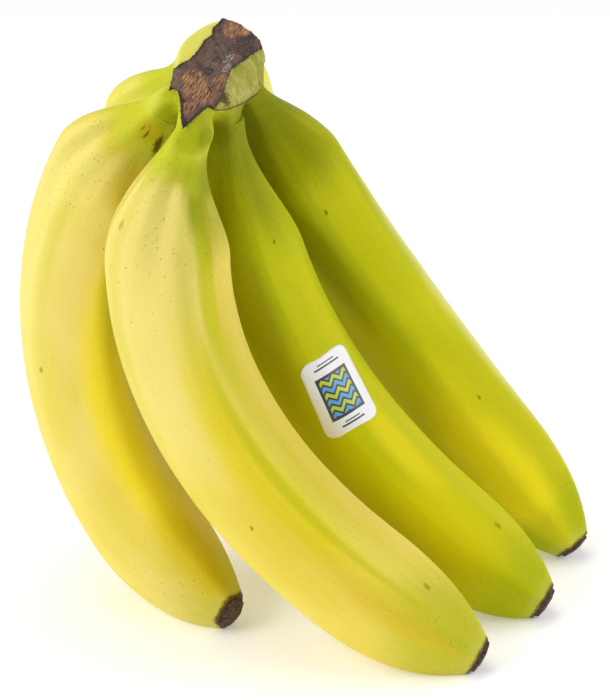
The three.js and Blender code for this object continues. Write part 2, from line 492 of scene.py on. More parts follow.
class ShaderGraph(Graph):
    """A material's node tree, with the surface shader and what most finishes read."""

    def __init__(self, name: str) -> None:
        """Starts an empty material with one Principled shader.

        Args:
            name: The material's name.
        """
        self.material = bpy.data.materials.new(name)
        self.material.use_nodes = True
        super().__init__(self.material.node_tree)
        self.tree.nodes.clear()
        self.shader = self.tree.nodes.new("ShaderNodeBsdfPrincipled")
        out = self.tree.nodes.new("ShaderNodeOutputMaterial")
        self.tree.links.new(self.shader.outputs["BSDF"], out.inputs["Surface"])

    def place(self) -> Socket:
        """Where a point is, in millimetres in the object's own coordinates."""
        return self.node("ShaderNodeTexCoord", {}, {}, "Object") * (1 / MM)

    def stored(self, name: str, out: str = "Fac") -> Socket:
        """A named attribute of the mesh: Fac for a value, or Vector."""
        settings = {"attribute_type": "GEOMETRY", "attribute_name": name}
        return self.node("ShaderNodeAttribute", settings, {}, out)

    def cells(self, where: Socket, scale: float, out: str = "Distance") -> Socket:
        """Cells scattered in space: the distance to the nearest, or its random colour."""
        return self.node("ShaderNodeTexVoronoi", {}, {"Vector": where, "Scale": scale}, out)

    def surface(self, values: Mapping[str, Any], height: Socket, depth: float) -> bpy.types.Material:
        """Sets the shader and its relief.

        Args:
            values: Links or plain values of the shader's sockets, by name.
            height: The relief, 0 at its lowest and about 1 at its highest.
            depth: How deep the relief is, in millimetres.

        Returns:
            The finished material.
        """
        relief = {"Strength": 1.0, "Distance": depth * MM, "Height": height}
        bump = self.node("ShaderNodeBump", {}, relief, "Normal")
        for name, value in {**values, "Normal": bump}.items():
            if isinstance(value, Socket):
                self.tree.links.new(value.link, self.shader.inputs[name])
            else:
                self.shader.inputs[name].default_value = value
        return self.material


@dataclass(frozen=True)
class Mark:
    """A small dark scar or bruise on a peel."""

    along: float  # from 0 at the crown to 1 at the nose
    around: float  # degrees from the inside of the bend
    size: float  # mm
    strength: float


@dataclass(frozen=True)
class Zone:
    """A part of a peel that leans to another colour, with soft and cloudy borders. Some zones are painted
    light, shade or highlight, not the peel's own colour.
    """

    along: float  # from 0 at the crown to 1 at the nose
    around: float  # degrees from the inside of the bend
    half_along: float  # half its size along the banana
    half_around: float  # half its size around it, in degrees
    colour: tuple[float, ...]
    strength: float

    def share(self, skin: Socket, cloudy: Socket) -> Socket:
        """How much a place on the skin takes the zone's colour.

        Args:
            skin: The cosine and sine of the angle around the banana, and the place along it.
            cloudy: Noise about 0 that blurs the borders.

        Returns:
            The share, from 0 to 1.
        """
        turn, width = math.radians(self.around), math.radians(self.half_around)
        centre = (math.cos(turn), math.sin(turn), self.along)
        apart = (skin - centre) * (1 / width, 1 / width, 1 / self.half_along)
        return (apart.length() + cloudy).step(1.35, 0.35) * self.strength


@dataclass(frozen=True)
class Tint:
    """A cloudy ball of colour where the necks meet, most of them painted shade and one a painted highlight.
    Crown and peels share it, so it runs over their seams.
    """

    place: tuple[float, float, float]  # mm
    half: float  # mm
    colour: tuple[float, ...]
    strength: float

    @staticmethod
    def layers(g: Graph, spot: Socket) -> list[tuple[Socket, tuple[float, ...]]]:
        """All the tints, to be laid over a colour.

        Args:
            g: The material's graph.
            spot: The place, in millimetres in the object's coordinates.

        Returns:
            How much there is of each tint, and its colour.
        """
        cloudy = (g.noise(spot, 0.16, 2, 0.5, 21) - 0.5) * 0.9
        apart = [(spot - tint.place).length() / tint.half + cloudy for tint in NECK_SHADE_AND_TINTS]
        return [(gap.step(1.3, 0.4) * tint.strength, tint.colour) for gap, tint in zip(apart, NECK_SHADE_AND_TINTS)]


# The green and olive balls paint the shade on the necks, the pale one paints a highlight on a lit neck, and
# the golden one warms the neck of the outer near banana.
NECK_SHADE_AND_TINTS = (
    Tint((-29.7, -56.1, 162.8), 5.0, paint(136, 146, 6), 0.9),
    Tint((-30.0, -52.8, 150.0), 6.5, paint(138, 148, 6), 0.85),
    Tint((-36.4, -57.0, 163.3), 5.2, paint(158, 166, 12), 0.75),
    Tint((-36.5, -56.0, 152.0), 6.0, paint(164, 168, 14), 0.7),
    Tint((-48.5, -39.6, 170.0), 5.0, paint(210, 212, 76), 0.7),
    Tint((-47.5, -39.1, 160.7), 4.6, paint(190, 172, 20), 0.8),
    Tint((-41.8, -42.5, 165.1), 5.0, paint(160, 168, 16), 0.7),
    Tint((-26.8, -35.0, 157.3), 5.0, paint(112, 116, 4), 0.7),
)


@dataclass(frozen=True)
class PeelFinish:
    """The skin of a banana that ripens from the middle: green at the neck, nose and ridges. Some of its
    colours are painted sheen, shade and light.
    """

    name: str
    # The ripe yellow is paled and blued to paint the waxy sheen, since the peel's specular is nearly off.
    ripe_and_sheen: tuple[float, ...] = paint(240, 220, 122)
    gold: tuple[float, ...] = paint(230, 206, 10)
    green: tuple[float, ...] = paint(180, 184, 10)
    deep: tuple[float, ...] = paint(128, 132, 4)
    stalk: tuple[float, ...] = paint(198, 200, 50)
    pale: tuple[float, ...] = paint(250, 236, 110)
    rim: tuple[float, ...] = paint(206, 204, 110)
    brown: tuple[float, ...] = paint(104, 72, 20)
    freckle: tuple[float, ...] = paint(118, 66, 8)
    scar: tuple[float, ...] = paint(70, 44, 20)
    withered: tuple[float, ...] = paint(74, 50, 40)
    greenness: float = 0.35  # how green the middle still is
    goldness: float = 0.5
    neck: float = 0.2  # how far down the green of the neck reaches, as a share of the length
    # On the turning bananas the darkest part reaches further down as painted shade.
    deep_neck: float = 0.1  # how far down its darkest part reaches
    stalk_reach: float = 0.15  # how far down the colour that it shares with the crown reaches
    freckles: float = 0.44
    dot_kinds: tuple[tuple[float, float, float], ...] = (  # cells a mm, size in a cell, strength
        (0.85, 0.27, 0.5), (0.5, 0.16, 0.36), (0.16, 0.055, 0.6),
    )
    girth: float = 16  # mm, about the banana's radius
    length: float = 205  # mm
    scar_stretch: float = 0.6  # scars run along the banana
    zones: tuple[Zone, ...] = ()
    marks: tuple[Mark, ...] = ()
    seed: float = 0

    def material(self) -> bpy.types.Material:
        """Builds the material.

        Returns:
            The material.
        """
        g = ShaderGraph(self.name)
        spot = g.place()
        along, ridge = g.stored("along"), g.stored("ridge")
        skin = g.stored("skin", "Vector")
        cloudy = g.noise(spot, 0.028, 2, 0.5, self.seed)
        patchy = g.noise(skin * (1, 1, 3.2), 1.6, 3, 0.55, self.seed + 3)
        streaks = g.noise(skin * (11, 11, 4), 1, 3, 0.6, self.seed + 5)
        grain = g.noise(spot, 1.1, 3, 0.6, self.seed + 7)

        neck = (along + (patchy - 0.5) * 0.16).step(self.neck, 0.03)
        nose = (along + (cloudy - 0.5) * 0.1).step(0.86, 1.0)
        stripe = ridge.step(0.55, 1.0) * along.step(0.75, 0.3) * 0.75
        unripe = (cloudy + patchy - 1 + self.greenness * 1.4).step(-0.1, 0.75)
        green = neck + nose * 0.55 + stripe * (0.25 + self.greenness) + unripe * self.greenness * 1.3
        green = green.at_most(1)
        blush = (patchy * 0.6 + cloudy * 0.8 + along.step(0.2, 0.75) * 0.25).step(0.72, 1.05)
        blush = blush * self.goldness
        blurred = (patchy - 0.5) * 0.9 + (streaks - 0.5) * 0.3
        shoulder = along.step(0.3, 0.1)
        stalk = (along + (patchy - 0.5) * 0.04).step(self.stalk_reach, self.stalk_reach * 0.65)
        fade = (grain - 0.5) * 0.2 + (streaks - 0.5) * 0.09
        dots, scars = self.dots(g, spot, along), self.scars(skin, along, grain)
        rim = (along + (patchy - 0.5) * 0.02).step(0.974, 0.99)
        withered = (along + (grain - 0.5) * 0.008 + (patchy - 0.5) * 0.006).step(0.993, 0.999)
        colour = g.coat(self.ripe_and_sheen, (
            (blush, self.gold),
            (green, self.green),
            # The zones: the peel's own colours, and on some sides painted light, shade and highlight.
            *((zone.share(skin, blurred), zone.colour) for zone in self.zones),
            # The neck's darkest green: the stalk's own colour, and on the turning bananas painted shade as
            # well.
            (along.step(self.deep_neck, 0.02) * (0.1 + streaks * 0.6), self.deep),
            # Painted shade in the grooves of the shoulder, and a painted highlight along its ridges.
            (shoulder * ridge.step(0.35, 0.0) * 0.3, self.deep),
            (shoulder * ridge.step(0.75, 1.0) * 0.15, self.ripe_and_sheen),
            (stalk, self.stalk),
            # Painted shade and highlight where the necks meet, shared with the crown.
            *Tint.layers(g, spot),
            (fade.at_least(0), self.pale),
            ((fade * -1).at_least(0), self.brown),
            (dots, self.freckle),
            (scars, self.scar),
            (rim * 0.25, self.rim),
            (withered * 0.9, self.withered),
        ))

        rough = 0.42 + (grain - 0.5) * 0.16 + dots * 0.2 + scars * 0.25
        relief = grain * 0.35 + streaks * 0.5 - dots * 0.35 - scars * 0.6
        values = {"Base Color": colour, "Roughness": rough, "Specular IOR Level": 0.05}
        return g.surface(values, relief, 0.14)

    def dots(self, g: ShaderGraph, spot: Socket, along: Socket) -> Socket:
        """Small brown freckles, most of them near the neck, on the shoulder and round the nose.

        Args:
            g: The material's graph.
            spot: The place, in millimetres.
            along: The place along the banana.

        Returns:
            How much of a freckle there is, from 0 to 1.
        """
        crowd = along.step(0.36, 0.12) * 1.3 + along.step(0.84, 0.96) * 0.7 - 0.15
        crowd = crowd + (g.noise(spot, 0.2, 3, 0.6, self.seed + 1) - 0.5) * 2.2
        total = along * 0
        for scale, size, strength in self.dot_kinds:
            where = spot + self.seed * 11.0
            draw = g.cells(where, scale, "Color")
            kept = (draw.part("X") + crowd * self.freckles).step(0.82, 1.05)
            width = draw.part("Y") * 0.8 + 0.5
            dot = (g.cells(where, scale) / width).step(size, size * 0.3)
            total = total.at_least(dot * kept * strength)
        return total

    def scars(self, skin: Socket, along: Socket, grain: Socket) -> Socket:
        """The few larger marks, each at its own place on the skin.

        Args:
            skin: The cosine and sine of the angle around the banana, and the place along it.
            along: The place along the banana.
            grain: Noise that frays their borders.

        Returns:
            How much of a scar there is, from 0 to 1.
        """
        total, flat = along * 0, (self.girth, self.girth, 0)
        for mark in self.marks:
            turn = math.radians(mark.around)
            apart = (skin * flat - (self.girth * math.cos(turn), self.girth * math.sin(turn), 0)).length()
            off = ((along - mark.along) * self.length * self.scar_stretch) ** 2 + apart ** 2
            scar = (off ** 0.5 + (grain - 0.5) * mark.size).step(mark.size, mark.size * 0.3)
            total = total.at_least(scar * mark.strength)
        return total


@dataclass(frozen=True)
class TipFinish:
    """The dried flower end: dark, dry cork."""

    name: str = "dried_tip"
    dark: tuple[float, ...] = paint(40, 26, 28)
    mid: tuple[float, ...] = paint(88, 60, 56)
    light: tuple[float, ...] = paint(168, 134, 98)

    def material(self) -> bpy.types.Material:
        """Builds the material.

        Returns:
            The material.
        """
        g = ShaderGraph(self.name)
        spot = g.place()
        coarse = g.noise(spot, 0.9, 3, 0.6)
        fine = g.noise(spot, 3.5, 2, 0.6, 4)
        colour = g.blend(coarse.step(0.42, 0.58), self.dark, self.mid)
        colour = g.blend(fine.step(0.54, 0.7) * 0.7, colour, self.light)
        return g.surface({"Base Color": colour, "Roughness": 0.85}, coarse * 0.6 + fine * 0.4, 0.35)


@dataclass(frozen=True)
class CrownFinish:
    """The living part of the crown: green stalk tissue, a creamy back, and a pale trimmed flank, with painted
    shade on the necks of the turning bananas.
    """

    name: str = "crown"
    stalk: tuple[float, ...] = PeelFinish.stalk
    # The stalk and olive colours of the turning bananas' necks are darkened as painted shade.
    unripe_shaded_stalk: tuple[float, ...] = paint(134, 140, 10)
    green: tuple[float, ...] = paint(188, 190, 30)
    deep: tuple[float, ...] = paint(148, 154, 10)
    olive_shade: tuple[float, ...] = paint(112, 120, 2)
    cream: tuple[float, ...] = paint(232, 226, 104)
    flank: tuple[float, ...] = paint(166, 160, 72)
    flank_pale: tuple[float, ...] = paint(204, 198, 132)
    flank_green: tuple[float, ...] = paint(146, 148, 48)
    brown: tuple[float, ...] = paint(78, 54, 38)
    stain: tuple[float, float, float] = (-9.2, 5.4, 1.6)  # mm along, across and up in the hand's frame

    def material(self) -> bpy.types.Material:
        """Builds the material.

        Returns:
            The material.
        """
        g = ShaderGraph(self.name)
        spot, local, flank = g.place(), g.stored("local", "Vector"), g.stored("flank")
        coarse = g.noise(spot, 0.16, 3, 0.55, 2)
        fine = g.noise(spot, 1.4, 3, 0.6, 5)
        streaks = g.noise(local * (0.9, 0.9, 0.22), 1, 3, 0.6, 9)

        cloud = g.noise(local * (0.3, 0.3, 0.3), 1, 2, 0.6, 14)
        stain = (local - self.stain).length() + (fine - 0.5) * 9 + (streaks - 0.5) * 5
        trim = g.coat(self.flank, (
            (coarse.step(0.38, 0.62), self.flank_green),
            (cloud.step(0.44, 0.7) * 0.5, self.flank_pale),
            (streaks.step(0.52, 0.75) * 0.15, self.flank_pale),
            (fine.step(0.6, 0.78) * 0.35, self.brown),
            (flank.step(1.1, 0.2) * 0.45, self.brown),
            (flank.step(0.5, 0.3) * 0.8, self.brown),
            (stain.step(4.2, 1.4) * 0.9, self.brown),
        ))
        down, unripe = g.stored("down"), g.stored("unripe")
        back = (local.part("Y") * -1 + (coarse - 0.5) * 4).step(6, 9) * local.part("X").step(-22, -13)
        # The turning necks take the darker stalk colour, partly painted shade.
        stalk = g.blend(unripe.step(0.3, 0.7), self.stalk, self.unripe_shaded_stalk)
        trimmed = flank.step(0, 0.12)
        colour = g.coat(self.green, (
            ((coarse - 0.3 + streaks * 0.5).at_most(1), self.deep),
            # Olive on the turning necks: painted shade, with streaks.
            (unripe * (down.step(0, 8) * 0.35 + streaks * 0.5), self.olive_shade),
            (back * 0.9, self.cream),
            ((streaks - 0.5).at_least(0) * 0.4, self.flank_pale),
            ((down + (coarse - 0.5) * 5).step(4, 10), stalk),
            # Painted shade and highlight where the necks meet, shared with the peels.
            *Tint.layers(g, spot),
            (trimmed, trim),
        ))
        values = {"Base Color": colour, "Roughness": 0.45 + trimmed * 0.2, "Specular IOR Level": 0.05}
        return g.surface(values, fine * 0.5 + streaks * 0.5, 0.3)


@dataclass(frozen=True)
class Patch:
    """An oval part of the crust, in the hand's frame, with soft and ragged borders."""

    along: float
    across: float
    half_along: float
    half_across: float

    def share(self, g: ShaderGraph, flat: Socket, ragged: Socket) -> Socket:
        """How much a place belongs to the patch, from 0 to 1.

        Args:
            g: The material's graph.
            flat: The place on the crust.
            ragged: Noise about 0 that frays the border.

        Returns:
            The share.
        """
        apart = (flat - (self.along, self.across, 0)) * (1 / self.half_along, 1 / self.half_across, 0)
        return (apart.length() + ragged).step(1.15, 0.75)


@dataclass(frozen=True)
class CrustFinish:
    """The dried cut face: dark bark-like tissue, warm fibrous patches, and glossy sappy patches with painted
    glints.
    """

    name: str = "crust"
    dark: tuple[float, ...] = paint(66, 47, 45)
    mid: tuple[float, ...] = paint(106, 78, 66)
    warm: tuple[float, ...] = paint(158, 102, 58)
    straw: tuple[float, ...] = paint(222, 172, 116)
    # Grey of dust, and of painted glints in the glossy patches.
    ash_and_glint: tuple[float, ...] = paint(160, 146, 140)
    black: tuple[float, ...] = paint(30, 20, 18)
    # The white of painted glints in the glossy patches.
    glint_white: tuple[float, ...] = paint(226, 222, 214)
    fibrous: tuple[Patch, ...] = (
        Patch(-20.5, -1.2, 8.5, 6.0), Patch(-8, 1.0, 6.5, 1.9), Patch(22, -8.8, 6, 2.6),
        Patch(27, -6.4, 4, 2), Patch(-33, 1.5, 5, 1.6),
    )
    sappy: tuple[Patch, ...] = (Patch(7, -3.4, 8, 2.6), Patch(-1, -5.6, 6, 2.2), Patch(0, -0.6, 6, 1.3))
    # Where the thin lines of painted glints run.
    glint_lines: tuple[Patch, ...] = (Patch(7, -2.4, 5, 1.0), Patch(2, -0.6, 4.5, 0.9))
    scorched: tuple[Patch, ...] = (
        Patch(21, -2.2, 9, 3), Patch(-8.5, -3, 3.5, 1.3), Patch(-13, 1, 3.5, 1.3), Patch(-19.5, 6.2, 4, 1.2),
    )
    dusty: tuple[Patch, ...] = (Patch(10, -8.6, 7, 2.4), Patch(-30, -5.5, 5, 2), Patch(-14, 4.4, 5, 1.4))

    def material(self) -> bpy.types.Material:
        """Builds the material.

        Returns:
            The material.
        """
        g = ShaderGraph(self.name)
        flat, edge = g.stored("flat", "Vector"), g.stored("edge")
        coarse = g.noise(flat * (0.16, 0.34, 1), 1, 3, 0.6, 2)
        wavy = flat + g.vector(0, (g.noise(flat, 0.12, 2, 0.5, 7) - 0.5) * 1.6 + flat.part("X") * 0.2, 0)
        fibres = g.noise(wavy * (0.2, 2.1, 1), 1, 3, 0.7, 9)
        strands = g.noise(wavy * (0.2, 3.8, 1), 1, 2, 0.6, 4)
        crumbs = g.noise(flat * (1.1, 1.5, 1), 1, 3, 0.65, 6)
        ragged = (coarse - 0.5) * 1.3 + (crumbs - 0.5) * 0.5
        lichen = g.noise(flat * (0.6, 1.4, 1), 1, 4, 0.75, 12).step(0.56, 0.66)

        woody, wet, burnt, glinting, dust = (
            self.cover(g, patches, flat, ragged)
            for patches in (self.fibrous, self.sappy, self.scorched, self.glint_lines, self.dusty)
        )
        rusty = g.noise(flat * (0.13, 0.3, 1), 1, 2, 0.5, 17)
        wood = g.coat(self.mid, (
            (fibres.step(0.4, 0.56), self.warm),
            (strands.step(0.5, 0.6) * 0.75, self.straw),
            (strands.step(0.47, 0.4) * 0.9, self.black),
        ))
        colour = g.coat(self.dark, (
            (coarse.step(0.38, 0.58), self.mid),
            (rusty.step(0.52, 0.66) * 0.45, self.warm),
            # Grey specks everywhere, stronger in the glossy patches as painted glints.
            (crumbs.step(0.54, 0.7) * (wet * 0.35 + 0.2), self.ash_and_glint),
            (woody * 0.95, wood),
            (burnt * crumbs.step(0.66, 0.4) * 0.9, self.black),
            (wet * crumbs.step(0.5, 0.38) * 0.8, self.black),
            # Thin white lines of painted glints.
            (glinting * abs(crumbs - 0.53).step(0.03, 0.01) * 0.85, self.glint_white),
            (fibres.step(0.44, 0.3) * 0.8, self.black),
            ((edge + (crumbs - 0.5) * 1.6).step(1.0, 0.2) * 0.85, self.black),
            (lichen * (1 - woody) * (0.35 + dust * 0.45), self.ash_and_glint),
        ))

        rough = 0.74 - wet * 0.56
        relief = fibres * (0.25 + woody * 0.3) + crumbs * (0.6 + wet * 0.3) + strands * woody * 0.2
        return g.surface({"Base Color": colour, "Roughness": rough, "Specular IOR Level": 0.45}, relief, 0.7)

    def cover(self, g: ShaderGraph, patches: Sequence[Patch], flat: Socket, ragged: Socket) -> Socket:
        """How much any of several patches covers a place.

        Args:
            g: The material's graph.
            patches: The patches.
            flat: The place on the crust.
            ragged: Noise about 0 that frays the borders.

        Returns:
            The share, from 0 to 1.
        """
        shares = [patch.share(g, flat, ragged) for patch in patches]
        total = shares[0]
        for share in shares[1:]:
            total = total.at_least(share)
        return total


@dataclass(frozen=True)
class LabelFinish:
    """A coated paper label with a plain printed pattern of chevrons."""

    name: str = "label_paper"
    white: tuple[float, ...] = paint(240, 240, 240)
    ink: tuple[float, ...] = paint(66, 60, 60)
    blue: tuple[float, ...] = paint(92, 168, 220)
    lime: tuple[float, ...] = paint(190, 206, 62)
    half_zigzag: float = 2.2  # mm across
    steepness: float = 0.9
    pitch: float = 4.4  # mm from a blue band to the next
    shift: float = 20  # mm, which keeps the pattern clear of negative places
    soft: float = 0.08  # mm, half the width of a printed edge

    def material(self) -> bpy.types.Material:
        """Builds the material.

        Returns:
            The material.
        """
        g = ShaderGraph(self.name)
        sheet = g.stored("sheet", "Vector")
        x, y = sheet.part("X"), sheet.part("Y")

        def box(cx: float, cy: float, half_x: float, half_y: float) -> Socket:
            """A printed rectangle: 1 inside it and 0 outside, from its middle and half sizes."""
            inside = abs(x - cx).step(half_x + self.soft, half_x - self.soft)
            return inside * abs(y - cy).step(half_y + self.soft, half_y - self.soft)

        wave = g.maths("PINGPONG", x + self.shift, self.half_zigzag)
        bands = g.maths("FRACT", (y + wave * self.steepness + self.shift) / self.pitch)
        panel = box(0, 0.4, 5.2, 6.3)
        rules = box(0, 10.2, 4.2, 0.28).at_least(box(0, 9.2, 2.8, 0.2))
        rules = rules.at_least(box(0, -9.4, 5.0, 0.28)).at_least(box(0, -10.5, 3.4, 0.2))
        colour = g.coat(self.white, (
            (box(0, 0.4, 6.1, 7.2), self.ink),
            (panel * abs(bands - 0.25).step(0.17, 0.15), self.blue),
            (panel * abs(bands - 0.75).step(0.17, 0.15), self.lime),
            (rules, self.ink),
        ))
        fibre = g.noise(g.place(), 2.2, 2, 0.5)
        return g.surface({"Base Color": colour, "Roughness": 0.34, "Coat Weight": 0.2}, fibre, 0.02)


@dataclass(frozen=True)
class FloorFinish:
    """The plain pale table."""

    name: str = "table"

    def material(self) -> bpy.types.Material:
        """Builds the material.

        Returns:
            The material.
        """
        g = ShaderGraph(self.name)
        fine = g.noise(g.place(), 0.05, 2)
        values = {
            "Base Color": paint(250, 250, 250), "Roughness": 0.7,
            "Emission Color": (1, 1, 1, 1), "Emission Strength": 0.25,
        }
        return g.surface(values, fine, 0.05)


# ------------------------------------------------------------------------------- the hand


@dataclass(frozen=True)
class Hand:
    """The hand's own frame, at the middle of the crown, that all the fingers share."""

    heading: float = 19  # of the row, from +Y towards +X
    tilt: float = 46  # of the bend, below level
    place: tuple[float, float, float] = (-27.56, -26.45, 172.3)
    row: Vector = field(init=False)
    bend: Vector = field(init=False)
    out: Vector = field(init=False)

    def __post_init__(self) -> None:
        """Works out the directions: along the row, the way of the bend, and the way the fingers leave."""
        heading, tilt = math.radians(self.heading), math.radians(self.tilt)
        row = Vector((math.sin(heading), math.cos(heading), 0))
        level = Vector((math.cos(heading), -math.sin(heading), 0))
        bend = level * math.cos(tilt) - Vector((0, 0, math.sin(tilt)))
        object.__setattr__(self, "row", row)
        object.__setattr__(self, "bend", bend)
        object.__setattr__(self, "out", row.cross(bend))

    def point(self, along: float, across: float, rise: float) -> Vector:
        """A point in millimetres, from its place in the hand's frame."""
        return Vector(self.place) + self.row * along + self.bend * across - self.out * rise


HAND = Hand()
SLANT = 1.87  # how far the hanging crust runs on along the row for each mm that it hangs down
WALK_STEPS = 400  # down a finger's centre line
RIDGES = 5  # around a banana
BELLY_START, BELLY_FULL, BELLY_END = 2, 14, 60  # mm down a finger where its belly begins, is full and is gone
FLUTES = 13  # fine folds around a stalk
FLUTES_END = 55  # mm down a finger


@dataclass(frozen=True)
class Neck:
    """How a finger's stalk meets the crown."""

    top: float = 5  # mm from the root to the middle of the stalk's rounded top, inside the crown
    reach: float = 18  # mm from the root to the end of the crown's skin
    length: float = 10  # of the stalk, before the finger widens
    radius: float = 5.2
    flare: float = 0.5  # how much wider the stalk is at its root
    flare_length: float = 5
    belly: float = 0.6  # how much further it reaches on the inside of the bend
    drop: float = 1.0  # how far below the cut faces it ends


@dataclass(frozen=True)
class Finger:
    """One banana's centre line and sizes."""

    name: str
    root: tuple[float, float, float]  # along, across and rise of its root on the crown
    fan: float  # how far it spreads along the row
    lean: float  # how far the plane that it bends in turns about its first direction
    bend: tuple[float, float]  # at the root and at the nose
    early: float  # how much of the bend comes early
    length: float  # along the centre line
    width: float
    shoulder: float  # the length over which it widens from the stalk
    nose: float  # the length over which it narrows again
    turn: float  # of the ridges, at half its length
    twist: float  # of the ridges, from root to nose
    neck: Neck = Neck()

    def radial(self) -> Vector:
        """The way the finger would leave the crown if it didn't bend."""
        fan = math.radians(self.fan)
        return HAND.out * math.cos(fan) + HAND.row * math.sin(fan)

    def inward(self) -> Vector:
        """The way it bends.

        Returns:
            The direction, square to radial().
        """
        lean = math.radians(self.lean)
        sideways = HAND.bend.cross(self.radial())
        return HAND.bend * math.cos(lean) + sideways * math.sin(lean)

    def side(self) -> Vector:
        """The direction square to the plane that it bends in."""
        return self.radial().cross(self.inward()).normalized()

    def direction(self, t: float) -> Vector:
        """The direction of the centre line.

        Args:
            t: The place on it, from 0 at the root to 1 at the nose.

        Returns:
            The direction.
        """
        start, end = self.bend
        angle = math.radians(start + (end - start) * (t + self.early * t * (1 - t)))
        return (self.radial() * math.cos(angle) + self.inward() * math.sin(angle)).normalized()

    def walk(self) -> list[Vector]:
        """Walks down the centre line from root to nose in short steps.

        Returns:
            The points, in millimetres.
        """
        points = [HAND.point(*self.root)]
        for i in range(WALK_STEPS):
            ahead = self.direction((i + 0.5) / WALK_STEPS)
            points.append(points[-1] + ahead * (self.length / WALK_STEPS))
        return points

    def point(self, t: float) -> Vector:
        """The point on the centre line at t."""
        return pick(self.walk(), min(max(t, 0), 1)) + self.direction(1) * max(t - 1, 0) * self.length


def pick(points: Sequence[Vector], t: float) -> Vector:
    """Finds a place along evenly spaced points.

    Args:
        points: The points.
        t: The place, from 0 at the first to 1 at the last.

    Returns:
        The point there.
    """
    place = t * (len(points) - 1)
    i = min(int(place), len(points) - 2)
    return points[i].lerp(points[i + 1], place - i)


FINGERS = (
    Finger(
        "banana_outer_near", root=(-16.5, -3.5, -3.5), fan=12.2, lean=-13.1, bend=(-7.9, 122.2), early=-0.15,
        length=209.3, width=35.7, shoulder=31, nose=50, turn=18, twist=18,
        neck=Neck(top=5, reach=17, flare=-2, flare_length=8, belly=2.6),
    ),
    Finger(
        "banana_inner_near", root=(-25, 5, 5), fan=-6.6, lean=2.1, bend=(11.3, 110.5), early=0.7,
        length=214.2, width=38, shoulder=41, nose=48.3, turn=63, twist=22, neck=Neck(top=6.5, reach=20),
    ),
    Finger(
        "banana_outer_middle", root=(3, -7, -3), fan=32.5, lean=-2, bend=(-3.5, 74), early=0,
        length=205, width=34.2, shoulder=38, nose=48, turn=30, twist=10, neck=Neck(top=4),
    ),
    Finger(
        "banana_inner_middle", root=(-5, 4.5, 1.5), fan=13.2, lean=3, bend=(35, 109.3), early=0.28,
        length=207.4, width=35.2, shoulder=49, nose=42, turn=50, twist=0, neck=Neck(top=5, flare=1.2),
    ),
    Finger(
        "banana_outer_far", root=(22.5, -7.5, -3.5), fan=54, lean=-11.5, bend=(-4, 88.5), early=0.5,
        length=217, width=33.8, shoulder=45, nose=48, turn=-12, twist=8, neck=Neck(top=4),
    ),
    Finger(
        "banana_inner_far", root=(14.5, -0.5, -1.5), fan=52.7, lean=-2.1, bend=(47.6, 94.1), early=0.18,
        length=207, width=34.4, shoulder=35, nose=47, turn=-54, twist=-12,
        neck=Neck(top=0, flare=1.2, drop=0.1),
    ),
)


# ------------------------------------------------------------------------------- the bananas


